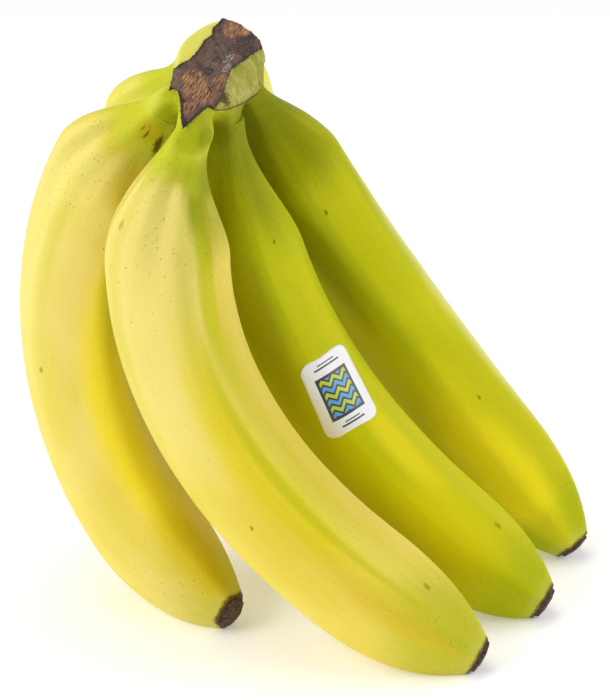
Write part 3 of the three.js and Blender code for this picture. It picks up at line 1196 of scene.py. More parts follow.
@dataclass
class Peel:
    """The skin of one banana, grown around its centre line."""

    finger: Finger
    finish: PeelFinish
    buried: float = 13.0  # mm of its stalk inside the crown's skin
    slimmer: float = 0.6  # mm off its width, which the waves in its skin take up again
    least_start: float = 9  # mm down the finger, the least place where the peel may start
    nose_radius: float = 6
    fullness: float = 2.7  # how late the nose narrows
    ridge: float = 0.04  # height of the ridges, as a share of the radius
    ridge_stalk: float = 0.06  # the same on the stalk
    ridge_nose: float = 0.03  # what the nose adds to it
    sharpness: float = 1.45
    flutes: float = 0.003  # height of the fine folds, as a share of the radius
    waves: float = 0.014
    dents: float = 0.02
    rings: int = 220

    @staticmethod
    def tree(around: int = 96) -> GrowthGraph:
        """Builds the tree that grows a peel.

        Args:
            around: How many faces there are around the banana.

        Returns:
            The tree.
        """
        sizes = (
            "Start", "Length", "Width", "Shoulder", "Nose", "Nose Radius", "Fullness", "Stalk Length",
            "Stalk Radius", "Flare", "Flare Length", "Ridge", "Ridge Stalk", "Sharpness", "Turn", "Twist",
            "Seed", "Belly",
        )
        g = GrowthGraph("Peel", {**dict.fromkeys(sizes, float), "Side": Vector, "Finish": bpy.types.Material})
        given = g.given
        tube, kept = g.tube(around, {
            "share": "GeometryNodeSplineParameter", "ahead": "GeometryNodeInputTangent",
            "centre": "GeometryNodeInputPosition",
        })
        side, ahead, centre = given["Side"], kept["ahead"], kept["centre"]
        outward = (g.field("GeometryNodeInputPosition") - centre).direction()
        inner = side.cross(ahead)
        angle = g.maths("ARCTAN2", outward.dot(side), outward.dot(inner))
        length, full = given["Length"], given["Width"] / 2
        distance = given["Start"] + kept["share"] * (length - given["Start"])
        along = distance / length

        widening = distance.step(given["Stalk Length"], given["Stalk Length"] + given["Shoulder"])
        body = given["Stalk Radius"] + (full - given["Stalk Radius"]) * widening
        taper = ((distance - (length - given["Nose"])) / given["Nose"]).at_least(0)
        narrowing = 1 - (1 - given["Nose Radius"] / full) * taper ** given["Fullness"]
        flare = given["Flare"] * g.maths("EXPONENT", distance / given["Flare Length"] * -1)
        belly = (g.maths("COSINE", angle) + 1) / 2 * distance.step(BELLY_START, BELLY_FULL)
        radius = body * narrowing + flare + given["Belly"] * belly * distance.step(BELLY_END, BELLY_FULL)

        turned = angle - given["Turn"] - given["Twist"] * (along - 0.5)
        valley = abs(g.maths("SINE", turned * (RIDGES / 2))) ** given["Sharpness"]
        height = given["Ridge Stalk"] + (given["Ridge"] - given["Ridge Stalk"]) * widening
        height = height + taper.step(0.3, 0.95) * Peel.ridge_nose
        wavy = g.noise(centre * 40 + outward * 0.6, 1, 1, 0.5, given["Seed"]) - 0.5
        fluted = g.maths("SINE", turned * FLUTES + wavy * 5) * distance.step(FLUTES_END, BELLY_FULL)
        dented = g.noise(centre * 60 + outward * 1.2, 1, 2, 0.5, given["Seed"] + 9) - 0.5
        waves = (wavy * Peel.waves + dented * Peel.dents) * widening + fluted * Peel.flutes
        radius = radius * (1 + height * (1 - valley * 2) + waves)

        spot = g.above_table(centre + outward * (radius * MM))
        skin = g.vector(g.maths("COSINE", angle), g.maths("SINE", angle), along)
        tube, found = g.capture(tube, {"along": along, "ridge": 1 - valley, "skin": skin, "spot": spot})
        tube = g.place(tube, found["spot"])
        for name in ("along", "ridge", "skin"):
            tube = g.store(tube, name, found[name])
        g.end(tube, given["Finish"])
        return g

    def build(self, growth: GrowthGraph) -> bpy.types.Object:
        """Grows the peel.

        Args:
            growth: The tree from tree().

        Returns:
            The peel, riding on the part and standing for its node.
        """
        finger, neck = self.finger, self.finger.neck
        start = max(neck.reach - self.buried, self.least_start)
        first = start / finger.length
        walk = finger.walk()
        line = [pick(walk, first + (1 - first) * i / self.rings) * MM for i in range(self.rings + 1)]
        values = {
            "Start": start, "Length": finger.length, "Width": finger.width - self.slimmer,
            "Shoulder": finger.shoulder, "Nose": finger.nose, "Nose Radius": self.nose_radius,
            "Fullness": self.fullness, "Stalk Length": neck.length, "Stalk Radius": neck.radius,
            "Flare": neck.flare, "Flare Length": neck.flare_length, "Belly": neck.belly,
            "Ridge": self.ridge, "Ridge Stalk": self.ridge_stalk, "Sharpness": self.sharpness,
            "Turn": math.radians(finger.turn), "Twist": math.radians(finger.twist), "Side": finger.side(),
            "Seed": self.finish.seed, "Finish": self.finish.material(),
        }
        piece = growth.grow(finger.name + "_peel", line_mesh(line), values)
        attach(piece, "root")
        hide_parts(finger.name)
        return piece


@dataclass
class BlossomEnd:
    """The dried flower end on the nose of one banana."""

    finger: Finger
    finish: TipFinish
    overlap: float = 1.6  # inside the peel
    length: float = 1.8  # beyond the nose
    root_radius: float = 5.7
    tip_radius: float = 4.6
    ragged: float = 0.45  # height of its lumps, as a share of the radius
    rough: float = 0.2  # the same for its crumbs
    closed: float = 0.5  # how far its end closes
    rings: int = 26

    @staticmethod
    def tree(around: int = 64) -> GrowthGraph:
        """Builds the tree that grows a blossom end.

        Args:
            around: How many faces there are around it.

        Returns:
            The tree.
        """
        sizes = ("Root Radius", "Tip Radius", "Seed")
        g = GrowthGraph("Blossom end", {**dict.fromkeys(sizes, float), "Finish": bpy.types.Material})
        given = g.given
        tube, kept = g.tube(around, {
            "share": "GeometryNodeSplineParameter", "centre": "GeometryNodeInputPosition",
        })
        centre, share = kept["centre"], kept["share"]
        outward = (g.field("GeometryNodeInputPosition") - centre).direction()
        radius = given["Root Radius"] + (given["Tip Radius"] - given["Root Radius"]) * share
        ragged = g.noise(outward * 1.8 + centre * 60, 1, 2, 0.6, given["Seed"]) - 0.5
        fine = g.noise(outward * 6 + centre * 500, 1, 2, 0.6, given["Seed"]) - 0.5
        radius = radius * (1 + ragged * BlossomEnd.ragged + fine * BlossomEnd.rough)
        radius = radius * (1 - share.step(0.8, 1.0) * BlossomEnd.closed)
        tube = g.place(tube, g.above_table(centre + outward * (radius * MM)))
        g.end(tube, given["Finish"])
        return g

    def build(self, growth: GrowthGraph) -> bpy.types.Object:
        """Grows the blossom end.

        Args:
            growth: The tree from tree().

        Returns:
            The piece, riding on the part and standing for its node.
        """
        ahead = self.finger.direction(1)
        start = self.finger.point(1) - ahead * self.overlap
        reach = self.overlap + self.length
        line = [(start + ahead * reach * i / self.rings) * MM for i in range(self.rings + 1)]
        node = self.finger.name.replace("banana", "blossom_end")
        values = {
            "Root Radius": self.root_radius, "Tip Radius": self.tip_radius,
            "Seed": self.finger.root[0], "Finish": self.finish.material(),
        }
        piece = growth.grow(node + "_cork", line_mesh(line), values)
        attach(piece, "root")
        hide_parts(node)
        return piece


# ------------------------------------------------------------------------------- the crown


@dataclass
class Crown:
    """The cushion that the necks grow from, with its cut face and trimmed flank."""

    finish: CrownFinish
    fingers: Sequence[Finger]
    # The darker necks of these are partly their greener colour and partly painted shade.
    unripe: Sequence[Finger]  # those with a darker neck
    middle: tuple[float, float, float] = (3, -2, 0)  # in the hand's frame
    half: tuple[float, float, float] = (31.3, 13, 9.5)
    plan: float = 2.6  # how square it is, seen on the cut face
    profile: float = 3  # how square it is, seen from the side
    taper: float = 0.3  # how much narrower its near end is
    left_side: float = -41.8  # where its flat left side stands, on x
    left_turn: float = 0.055  # mm on x for each mm on y
    left_round: float = 6  # over this its left side rounds off
    cut_rise: float = 3  # of the cut face
    flank_at: tuple[float, float] = (-20, 5.5)  # where the trimmed flank meets the cut face
    flank_slope: float = 22
    flank_skew: float = -2.4
    flank_waves: float = 0.5
    webbing: float = 5.2  # over this the necks and the cushion grow together
    flank_round: float = 1.2  # over these the edges round off
    face_round: float = 1.5
    neck_round: float = 3
    whole_round: float = 0.9
    voxel: float = 0.4
    thinning: float = 0.2  # how much the volume's density falls in each mm outwards
    margin: float = 12  # around the node's box, in which the skin is sought
    crust_depth: float = 0.9  # of the flesh below the cut face, to make room for the crust
    over_peel: float = 0.12  # of a neck's skin above the stalk's own
    sink_length: float = 12  # over this length its end sinks into the peel
    sink: float = 0.6  # by this much
    collar_slope: float = 0.3  # mm of web for each mm up the stalk
    collar_length: float = 6  # beyond this the webs are free to widen
    collar_release: float = 8  # mm of web for each mm up the stalk, beyond the collar
    collar_width: float = 7
    bow_share: float = 0.1  # of a finger's length, over which its first curve is taken
    sharing: float = 1.5  # over this the looks of two necks merge
    marked_steps: int = 80  # of a finger's walk, along which its neck is marked
    facing_slope: float = 2.2  # mm of inset for each unit by which the skin faces the flank
    facing_least: float = 0.05
    # the edge of the trimmed flank, as along and across in the plane of the cut face
    flank_edge: tuple[tuple[float, float], ...] = (
        (40, -2), (30.1, -1), (4.5, -1.5), (-14.7, 3.5), (-21.4, 5), (-21.4, 7.1), (-14.7, 9.3), (-4.7, 10.8),
        (7.7, 11.4), (14.3, 11), (22.4, 9.4), (29, 7.2), (40, 3),
    )

    def cushion(self, spot: Socket, along: Socket, across: Socket, rise: Socket) -> Socket:
        """The cushion before it is cut: a box with soft corners and a flat left side.

        Args:
            spot: A place, in millimetres.
            along: The place along the row.
            across: The place in the way of the bend.
            rise: The place towards the cut face.

        Returns:
            How far outside the cushion the place is, in millimetres.
        """
        near = ((self.middle[0] - along) / self.half[0]).at_least(0)
        across_share = (across - self.middle[1]) / (1 - near.at_most(1) ** 2 * self.taper)
        x, y, z = (
            abs(share / half)
            for share, half in zip((along - self.middle[0], across_share, rise - self.middle[2]), self.half)
        )
        flat = (x ** self.plan + y ** self.plan) ** (1 / self.plan)
        gauge = (flat ** self.profile + z ** self.profile) ** (1 / self.profile)
        left = self.left_side - spot.part("X") - spot.part("Y") * self.left_turn
        return spot.graph.maths("SMOOTH_MAX", (gauge - 1) * self.half[1], left, self.left_round)

    def shape_tree(self) -> GrowthGraph:
        """Builds the tree that fuses cushion and necks into one skin, from a field of depths.

        Returns:
            The tree.
        """
        g = GrowthGraph("Crown", {
            "Origin": Vector, "Row": Vector, "Bend": Vector, "Out": Vector, "Webbing": float,
            "Low": Vector, "High": Vector, "Finish": bpy.types.Material,
        })
        given = g.given
        spot = g.field("GeometryNodeInputPosition") * (1 / MM)
        local = spot - given["Origin"]
        along, across = local.dot(given["Row"]), local.dot(given["Bend"])
        rise = local.dot(given["Out"]) * -1
        slope = math.radians(self.flank_slope)
        normal = HAND.out * -math.cos(slope) + HAND.bend * math.sin(slope)
        normal = (normal - HAND.row * math.sin(math.radians(self.flank_skew))).normalized()
        edge = HAND.point(*self.flank_at, self.cut_rise)
        waves = (g.noise(local * 0.12, 1, 1) - 0.5) * self.flank_waves
        flank = (spot - tuple(edge)).dot(tuple(normal)) + waves
        face = rise - self.cut_rise + self.crust_depth
        cut = flank.at_least(face)

        body = self.cushion(spot, along, across, rise)
        body = g.maths("SMOOTH_MAX", body, flank, self.flank_round)
        body = g.maths("SMOOTH_MAX", body, face, self.face_round)
        necks = [self.neck(spot, finger) for finger in self.fingers]
        for finger, (neck, _) in zip(self.fingers, necks):
            neck = g.maths("SMOOTH_MAX", neck, cut + finger.neck.drop, self.neck_round)
            body = g.maths("SMOOTH_MIN", body, neck, given["Webbing"])
        for _, limit in necks:
            body = body.at_least(limit)
        whole = g.maths("SMOOTH_MAX", body, cut, self.whole_round)

        low, high = given["Low"], given["High"]
        volume = g.node("GeometryNodeVolumeCube", {}, {
            "Density": 0.5 - whole * self.thinning, "Min": low, "Max": high,
            **{f"Resolution {axis}": (high - low).part(axis) / (self.voxel * MM) for axis in "XYZ"},
        })
        skin = g.node("GeometryNodeVolumeToMesh", {}, {"Volume": volume, "Threshold": 0.5})
        skin, found = g.capture(skin, {"local": g.vector(along, across, rise)})
        g.end(g.store(skin, "local", found["local"]), given["Finish"])
        return g

    def neck(self, spot: Socket, finger: Finger) -> tuple[Socket, Socket]:
        """The skin around a finger's stalk, which runs out on the peel.

        Args:
            spot: A place, in millimetres.
            finger: The finger.

        Returns:
            How far outside the stalk's own skin the place is, and how far outside the collar that the
            webs around it may fill, both in millimetres.
        """
        g, neck, ahead, side = spot.graph, finger.neck, finger.direction(0), finger.side()
        bow = (finger.direction(self.bow_share) - ahead) / (self.bow_share * finger.length) / 2
        apart = spot - tuple(HAND.point(*finger.root))
        down = apart.dot(tuple(ahead))
        below = down.at_least(neck.top)
        axis = apart - g.vector(*ahead) * below - g.vector(*bow) * (below * below)
        radius = neck.radius + g.maths("EXPONENT", below / -neck.flare_length) * neck.flare
        angle = g.maths("ARCTAN2", axis.dot(tuple(side)), axis.dot(tuple(side.cross(ahead))))
        turned = angle - (math.radians(finger.turn) - math.radians(finger.twist) / 2)
        valley = abs(g.maths("SINE", turned * (RIDGES / 2))) ** Peel.sharpness
        belly = (g.maths("COSINE", angle) + 1) / 2 * down.step(BELLY_START, BELLY_FULL) * neck.belly
        radius = radius * (1 + (1 - valley * 2) * Peel.ridge_stalk) + belly
        lift = self.over_peel - down.step(neck.reach - self.sink_length, neck.reach) * self.sink
        outside = axis.length() - (radius + lift)
        left = (neck.reach - down).at_least(0)
        collar = outside - left * self.collar_slope
        collar = collar - (left - self.collar_length).at_least(0) * self.collar_release
        return outside.at_least(down - neck.reach), collar.at_most(self.collar_width - outside)

    def build(self) -> bpy.types.Object:
        """Grows the crown.

        Returns:
            The crown, riding on the part and standing for its node.
        """
        low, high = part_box("crown")
        margin = Vector((1, 1, 1)) * self.margin * MM
        values = {
            "Origin": Vector(HAND.place), "Row": HAND.row, "Bend": HAND.bend, "Out": HAND.out,
            "Webbing": self.webbing, "Low": low - margin, "High": high + margin,
            "Finish": self.finish.material(),
        }
        crown = self.shape_tree().grow("crown_cushion", bpy.data.meshes.new("empty"), values)
        self.mark_flank(crown.data)
        self.mark_necks(crown.data)
        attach(crown, "root")
        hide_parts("crown")
        return crown

    def mark_flank(self, mesh: bpy.types.Mesh) -> None:
        """Writes how far inside the edge of the trimmed flank each point lies.

        Args:
            mesh: The crown's mesh, with its "local" attribute.
        """
        local = read_rows(mesh.attributes["local"].data, "vector")
        seen = local[:, :2] - np.outer(self.cut_rise - local[:, 2], (SLANT, 0))
        inside = signed_distance(seen, np.array(self.flank_edge))
        slope = math.radians(self.flank_slope)
        outward = np.array(HAND.bend * math.sin(slope) - HAND.out * math.cos(slope))
        facing = read_rows(mesh.vertex_normals, "vector") @ outward
        write_field(mesh, "flank", np.minimum(inside, (facing + self.facing_least) * self.facing_slope))

    def mark_necks(self, mesh: bpy.types.Mesh) -> None:
        """Writes how far down a finger each point lies, and how much it belongs to an unripe one.

        Args:
            mesh: The crown's mesh.
        """
        spots = read_rows(mesh.vertices, "co") / MM
        total, down, unripe = np.zeros((3, len(spots)))
        for finger in self.fingers:
            near = np.array(finger.walk()[:self.marked_steps])
            apart = np.array([np.linalg.norm(spots - place, axis=1) for place in near])
            weight = np.exp(-apart.min(axis=0) / self.sharing)
            total += weight
            down += weight * apart.argmin(axis=0) * finger.length / WALK_STEPS
            unripe += weight * (finger in self.unripe)
        write_field(mesh, "down", down / total)
        write_field(mesh, "unripe", unripe / total)


@dataclass
class Crust:
    """The dried skin of the cut face: a ragged sheet that lies over the crown and hangs down its near end."""

    crown: bpy.types.Object
    finish: CrustFinish
    rise: float = 3  # of the cut face
    spacing: float = 0.45
    thickness: float = 0.55
    sunk: float = 0.5  # of its underside inside the crown
    frayed: float = 0.35  # how far its edge wanders
    relief: float = 0.75
    thin_width: float = 0.5  # over this it thins out towards its edge
    thin_share: float = 0.45  # how much of its thickness is left there
    flat_width: float = 1.2  # over this its relief flattens out towards its edge
    flat_share: float = 0.15  # how much of its relief is left there
    lip_at: float = 0.7  # inside its edge, where a low lip curls up
    lip_width: float = 0.5
    lip_height: float = 0.3
    above: float = 30  # how far above the cut face it starts to fall
    settling: int = 60  # rounds in which it sags into the hollows
    sag: float = 0.6  # how much of a round's depth comes from the points around
    # its edge as along and across in the plane of the cut face, from the far end round by the flank
    edge: tuple[tuple[float, float], ...] = (
        (22.8, -13.2), (28, -9.3), (31, -5.2), (32, -1), (30.1, 1.5), (23.6, 1.1), (11.8, 0.8), (4.5, 0.5),
        (-1.9, 2), (-8.1, 4), (-14.7, 5.7), (-21.4, 6.6), (-23, 4.9), (-26.2, 4.8), (-32, 4.8), (-43.3, 4.9),
        (-37.8, 1), (-33.7, -1.2), (-29.8, -4.7), (-33.6, -6.5), (-23.1, -10.2), (-19.9, -10.2),
        (-11.5, -9.4), (-3.7, -10.1), (3.6, -11.3), (10.3, -11.3), (13.5, -12.6),
    )

    def outline(self) -> list[Vector]:
        """The edge in short steps, frayed.

        Returns:
            Its corners, as along and across.
        """
        points = []
        corners = [Vector(corner) for corner in self.edge]
        for start, end in zip(corners, [*corners[1:], corners[0]]):
            ahead = (end - start).normalized()
            steps = max(int((end - start).length / self.spacing), 1)
            for i in range(steps):
                point = start.lerp(end, i / steps)
                fray = noise.fractal(Vector((*point, 0)) * 0.8, 0.7, 2.0, 3) * self.frayed
                points.append(point + Vector((ahead.y, -ahead.x)) * (fray if i else 0))
        return points

    def flat_mesh(self) -> tuple[np.ndarray, list[list[int]], np.ndarray]:
        """The sheet before it is laid down.

        Returns:
            Its points, its faces, and how far inside its edge each point is.
        """
        border = self.outline()
        outline = np.array(border)
        low, high = outline.min(axis=0), outline.max(axis=0)
        grid = np.stack(np.meshgrid(*(np.arange(a, b, self.spacing) for a, b in zip(low, high))), axis=-1)
        flat, faces = cut_sheet(border, grid.reshape(-1, 2), self.spacing)
        return flat, faces, np.maximum(signed_distance(flat, outline), 0)

    def lay(self, flat: np.ndarray, faces: Sequence[Sequence[int]]) -> np.ndarray:
        """Lets the sheet fall on the crown, where it bridges the hollows.

        Args:
            flat: The points of the flat sheet.
            faces: Its faces.

        Returns:
            The points in space, in millimetres.
        """
        fall = (HAND.out + HAND.row * SLANT).normalized()
        starts = [HAND.point(*point, self.rise) - fall * self.above for point in flat]
        tree = BVHTree.FromObject(self.crown, bpy.context.evaluated_depsgraph_get())
        hits = [tree.ray_cast(start * MM, fall)[3] for start in starts]
        floor = np.array([np.inf if hit is None else hit / MM for hit in hits])
        missed = np.isinf(floor)
        ends = np.array([(face[i - 1], face[i]) for face in faces for i in range(len(face))])
        ends = np.concatenate([ends, ends[:, ::-1]])
        count = np.bincount(ends[:, 0], minlength=len(flat))
        depth = np.where(missed, self.above, floor)
        for _ in range(self.settling):
            around = np.bincount(ends[:, 0], depth[ends[:, 1]], minlength=len(flat)) / count
            sagged = depth * (1 - self.sag) + around * self.sag
            depth = np.minimum(np.where(missed, around, sagged), floor)
        return np.array(starts) + np.array(fall) * depth[:, None]

    def thicken(
        self, spots: np.ndarray, faces: list[list[int]], lift: np.ndarray,
    ) -> tuple[np.ndarray, list[Sequence[int]]]:
        """Gives the sheet an underside inside the crown, and walls around its edge.

        Args:
            spots: The points in space.
            faces: The faces.
            lift: How far the upper side stands above each point.

        Returns:
            The points and the faces of the closed body.
        """
        sheet = bpy.data.meshes.new("sheet")
        sheet.from_pydata(spots.tolist(), [], faces)
        normals = read_rows(sheet.vertex_normals, "vector")
        bpy.data.meshes.remove(sheet)
        if np.mean(normals @ np.array(HAND.out)) > 0:
            normals, faces = -normals, [face[::-1] for face in faces]
        count = len(spots)
        sides = {(a, b) for face in faces for a, b in zip(face, [*face[1:], face[0]])}
        walls = [(b, a, a + count, b + count) for a, b in sides if (b, a) not in sides]
        under = [[i + count for i in face[::-1]] for face in faces]
        layers = [spots + normals * lift[:, None], spots - normals * self.sunk]
        return np.concatenate(layers), [*faces, *under, *walls]

    def build(self) -> bpy.types.Object:
        """Cuts the sheet, lays it down and gives it its thickness and relief.

        Returns:
            The crust, riding on the part.
        """
        flat, faces, inside = self.flat_mesh()
        place = np.column_stack([flat, np.zeros(len(flat))])
        bark = np.array([self.height(Vector(point)) for point in place])
        lip = np.exp(-((inside - self.lip_at) / self.lip_width) ** 2) * self.lip_height
        full = self.thickness * np.clip(inside / self.thin_width, self.thin_share, 1)
        lift = full + lip + bark * np.clip(inside / self.flat_width, self.flat_share, 1)
        points, faces = self.thicken(self.lay(flat, faces), faces, lift)
        mesh = bpy.data.meshes.new("crust")
        mesh.from_pydata((points * MM).tolist(), [], faces)
        mesh.polygons.foreach_set("use_smooth", [True] * len(mesh.polygons))
        write_field(mesh, "flat", np.tile(place, (2, 1)))
        write_field(mesh, "edge", np.tile(inside, 2))
        mesh.materials.append(self.finish.material())
        piece = add_object("crown_crust", mesh)
        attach(piece, "root")
        return piece

    def height(self, point: Vector) -> float:
        """How far the bark stands up.

        Args:
            point: The place on the flat sheet.

        Returns:
            The height, in millimetres.
        """
        strands = noise.fractal(Vector((point.x * 0.22, point.y * 1.1, 0)), 0.8, 2.1, 3)
        flakes = noise.ridged_multi_fractal(Vector((point.x * 0.1, point.y * 0.24, 3)), 0.9, 2.2, 3, 1.0, 2.0)
        return max(self.relief * (strands * 0.7 + (flakes - 1.2) * 0.45), -0.25)


def signed_distance(points: np.ndarray, outline: np.ndarray) -> np.ndarray:
    """How far inside a closed outline each point lies; outside it is negative.

    Args:
        points: The points, as rows of two.
        outline: The corners of the outline, in order.

    Returns:
        One distance for each point.
    """
    nearest = np.full(len(points), np.inf)
    crossings = np.zeros(len(points), dtype=int)
    for start, end in zip(outline, np.roll(outline, -1, axis=0)):
        edge = end - start
        share = np.clip((points - start) @ edge / (edge @ edge), 0, 1)
        nearest = np.minimum(nearest, np.linalg.norm(points - start - share[:, None] * edge, axis=1))
        spans = (start[1] > points[:, 1]) != (end[1] > points[:, 1])
        if edge[1]:
            reached = start[0] + (points[:, 1] - start[1]) / edge[1] * edge[0]
            crossings += spans & (points[:, 0] < reached)
    return np.where(crossings % 2 == 1, nearest, -nearest)


def cut_sheet(
    border: Sequence[Vector], grid: np.ndarray, spacing: float,
) -> tuple[np.ndarray, list[list[int]]]:
    """Fills an outline with triangles over a grid of points.

    Args:
        border: The corners of the outline, in order.
        grid: The points to fill it with, as rows of two; only those well inside it are used.
        spacing: The distance between them.

    Returns:
        The points, as rows of two and the outline first, and the faces.
    """
    inner = grid[signed_distance(grid, np.array(border)) > spacing / 2]
    corners = [*border, *(Vector(point) for point in inner)]
    points, _, faces, *_ = delaunay_2d_cdt(corners, [], [list(range(len(border)))], 1, 1e-6)
    return np.array(points), faces


# ------------------------------------------------------------------------------- the label


@dataclass
class Label:
    """The paper label, a thin sheet laid over the peel of one banana."""

    finger: Finger
    peel: bpy.types.Object
    finish: LabelFinish
    at: float = 0.521  # from 0 at the crown to 1 at the nose
    around: float = 31  # from the inside of the bend
    turn: float = -9  # from the banana's own direction
    width: float = 18
    height: float = 25.5
    corner: float = 3
    corner_steps: int = 8
    thickness: float = 0.22
    lift: float = 0.06  # of its underside above the peel
    above: float = 40  # how far above the banana's middle line it starts to fall
    spacing: float = 0.6

    def outline(self) -> list[Vector]:
        """The rounded rectangle.

        Returns:
            Its corners in millimetres, anticlockwise from the lower right.
        """
        points = []
        for quarter, (right, up) in enumerate(((1, -1), (1, 1), (-1, 1), (-1, -1))):
            middle = Vector((right * (self.width / 2 - self.corner), up * (self.height / 2 - self.corner)))
            for i in range(self.corner_steps + 1):
                turn = math.radians((quarter - 1 + i / self.corner_steps) * 90)
                points.append(middle + Vector((math.cos(turn), math.sin(turn))) * self.corner)
        return points

    def flat_mesh(self) -> tuple[np.ndarray, list[list[int]]]:
        """The sheet before it is laid down.

        Returns:
            Its points, as rows of two, and its faces.
        """
        columns, rows = (
            np.linspace(-size / 2, size / 2, int(size / self.spacing) + 1)[1:-1]
            for size in (self.width, self.height)
        )
        return cut_sheet(self.outline(), np.array([(x, y) for x in columns for y in rows]), self.spacing)

    def lay(self, flat: np.ndarray) -> tuple[list[Vector], Vector]:
        """Lets the sheet fall on the peel.

        Args:
            flat: The points of the flat sheet.

        Returns:
            The points in space, in metres, and the direction that the sheet came from.
        """
        turn, ahead, side = math.radians(self.around), self.finger.direction(self.at), self.finger.side()
        normal = (side.cross(ahead) * math.cos(turn) + side * math.sin(turn)).normalized()
        axis = ahead.copy()
        axis.rotate(Matrix.Rotation(math.radians(self.turn), 3, normal))
        right = axis.cross(normal).normalized()
        up = normal.cross(right)
        centre = self.finger.point(self.at) + normal * self.above
        tree = BVHTree.FromObject(self.peel, bpy.context.evaluated_depsgraph_get())
        spots = []
        for x, y in flat:
            hit, slope, *_ = tree.ray_cast((centre + right * x + up * y) * MM, -normal)
            spots.append(hit + slope * self.lift * MM)
        return spots, normal

    def build(self) -> bpy.types.Object:
        """Cuts the sheet, lays it on the peel and gives it its thickness.

        Returns:
            The label, riding on the part and standing for its node.
        """
        flat, faces = self.flat_mesh()
        spots, normal = self.lay(flat)
        mesh = bpy.data.meshes.new("label")
        mesh.from_pydata(spots, [], faces)
        if sum(face.normal.dot(normal) for face in mesh.polygons) < 0:
            mesh.flip_normals()
        write_field(mesh, "sheet", np.column_stack([flat, np.zeros(len(flat))]))
        piece = add_object("label_sheet", mesh)
        solid = piece.modifiers.new("Thickness", "SOLIDIFY")
        solid.thickness = self.thickness * MM
        solid.offset = 1
        made = frozen(piece)
        piece.modifiers.clear()
        piece.data = made
        made.polygons.foreach_set("use_smooth", [True] * len(made.polygons))
        made.materials.append(self.finish.material())
        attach(piece, "root")
        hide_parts("label")
        return piece


# ------------------------------------------------------------------------------- the studio


@dataclass
class Studio:
    """A pale table, soft lights and the camera."""

    aim: tuple[float, float, float] = (-1.46, -58.33, 97.19)  # of the camera
    distance: float = 850  # from there to the camera
    elevation: float = 23
    lens: float = 145.7
    sky: float = 0.34  # strength of the white world
    lit: tuple[float, float, float] = (0, 0, 90)  # what the lights face
    table: float = 3000  # from its middle to its edge
    near: float = 10
    far: float = 20000

    def build(self) -> None:
        """Sets the stage."""
        self.floor()
        self.camera()
        self.light("key", (-0.95, -0.5, 0.7), 0.9, 8.5)
        self.light("top", (-0.2, 0.2, 1.1), 0.8, 4)
        self.light("fill", (0.95, 0.0, 0.55), 0.9, 6)
        world = bpy.data.worlds.new("studio")
        bpy.context.scene.world = world
        world.use_nodes = True
        sky = world.node_tree.nodes["Background"]
        sky.inputs["Color"].default_value = (1, 1, 1, 1)
        sky.inputs["Strength"].default_value = self.sky
        bpy.context.scene.view_settings.view_transform = "Standard"

    def floor(self) -> None:
        """The table top."""
        half = self.table * MM
        mesh = bpy.data.meshes.new("table")
        corners = [(-half, -half, 0), (half, -half, 0), (half, half, 0), (-half, half, 0)]
        mesh.from_pydata(corners, [], [(0, 1, 2, 3)])
        mesh.materials.append(FloorFinish().material())
        add_object("table", mesh)

    def camera(self) -> None:
        """The camera, a little above the crown's height and looking down at the cluster."""
        data = bpy.data.cameras.new("camera")
        data.lens = self.lens
        made = add_object("camera", data)
        tilt = math.radians(self.elevation)
        back = Vector((0, -math.cos(tilt), math.sin(tilt)))
        made.location = (Vector(self.aim) + back * self.distance) * MM
        made.rotation_euler = Euler((math.pi / 2 - tilt, 0, 0))
        data.clip_start, data.clip_end = self.near * MM, self.far * MM
        bpy.context.scene.camera = made

    def light(self, name: str, place: tuple[float, float, float], size: float, power: float) -> None:
        """A square soft light that faces the cluster.

        Args:
            name: Its name.
            place: Where it stands, in metres.
            size: The length of its side, in metres.
            power: Its power in watts.
        """
        data = bpy.data.lights.new(name, "AREA")
        data.size, data.energy = size, power
        made = add_object(name, data)
        made.location = place
        aim = Vector(self.lit) * MM - Vector(place)
        made.rotation_euler = aim.to_track_quat("-Z", "Y").to_euler()


# ------------------------------------------------------------------------------- everything


class Ripeness(Enum):
    """How ripe a banana is, with its finish's values. The turning ones' darker necks are partly painted
    shade.
    """

    YELLOW = {"greenness": 0.12, "goldness": 0.45, "neck": 0.14, "stalk_reach": 0.13}
    HIDDEN = {"greenness": 0.12, "goldness": 0.45, "neck": 0.2, "freckles": 0.15}
    TURNING = {
        "greenness": 0.5, "goldness": 0.75, "neck": 0.3, "deep_neck": 0.24,
        "ripe_and_sheen": paint(214, 208, 24), "gold": paint(236, 214, 14), "green": paint(178, 182, 6),
        # Their deep and stalk greens are darkened as painted shade, for necks that lie in the shade of the
        # nearer necks and the crown.
        "deep": paint(112, 120, 2), "stalk": paint(134, 140, 10),
    }


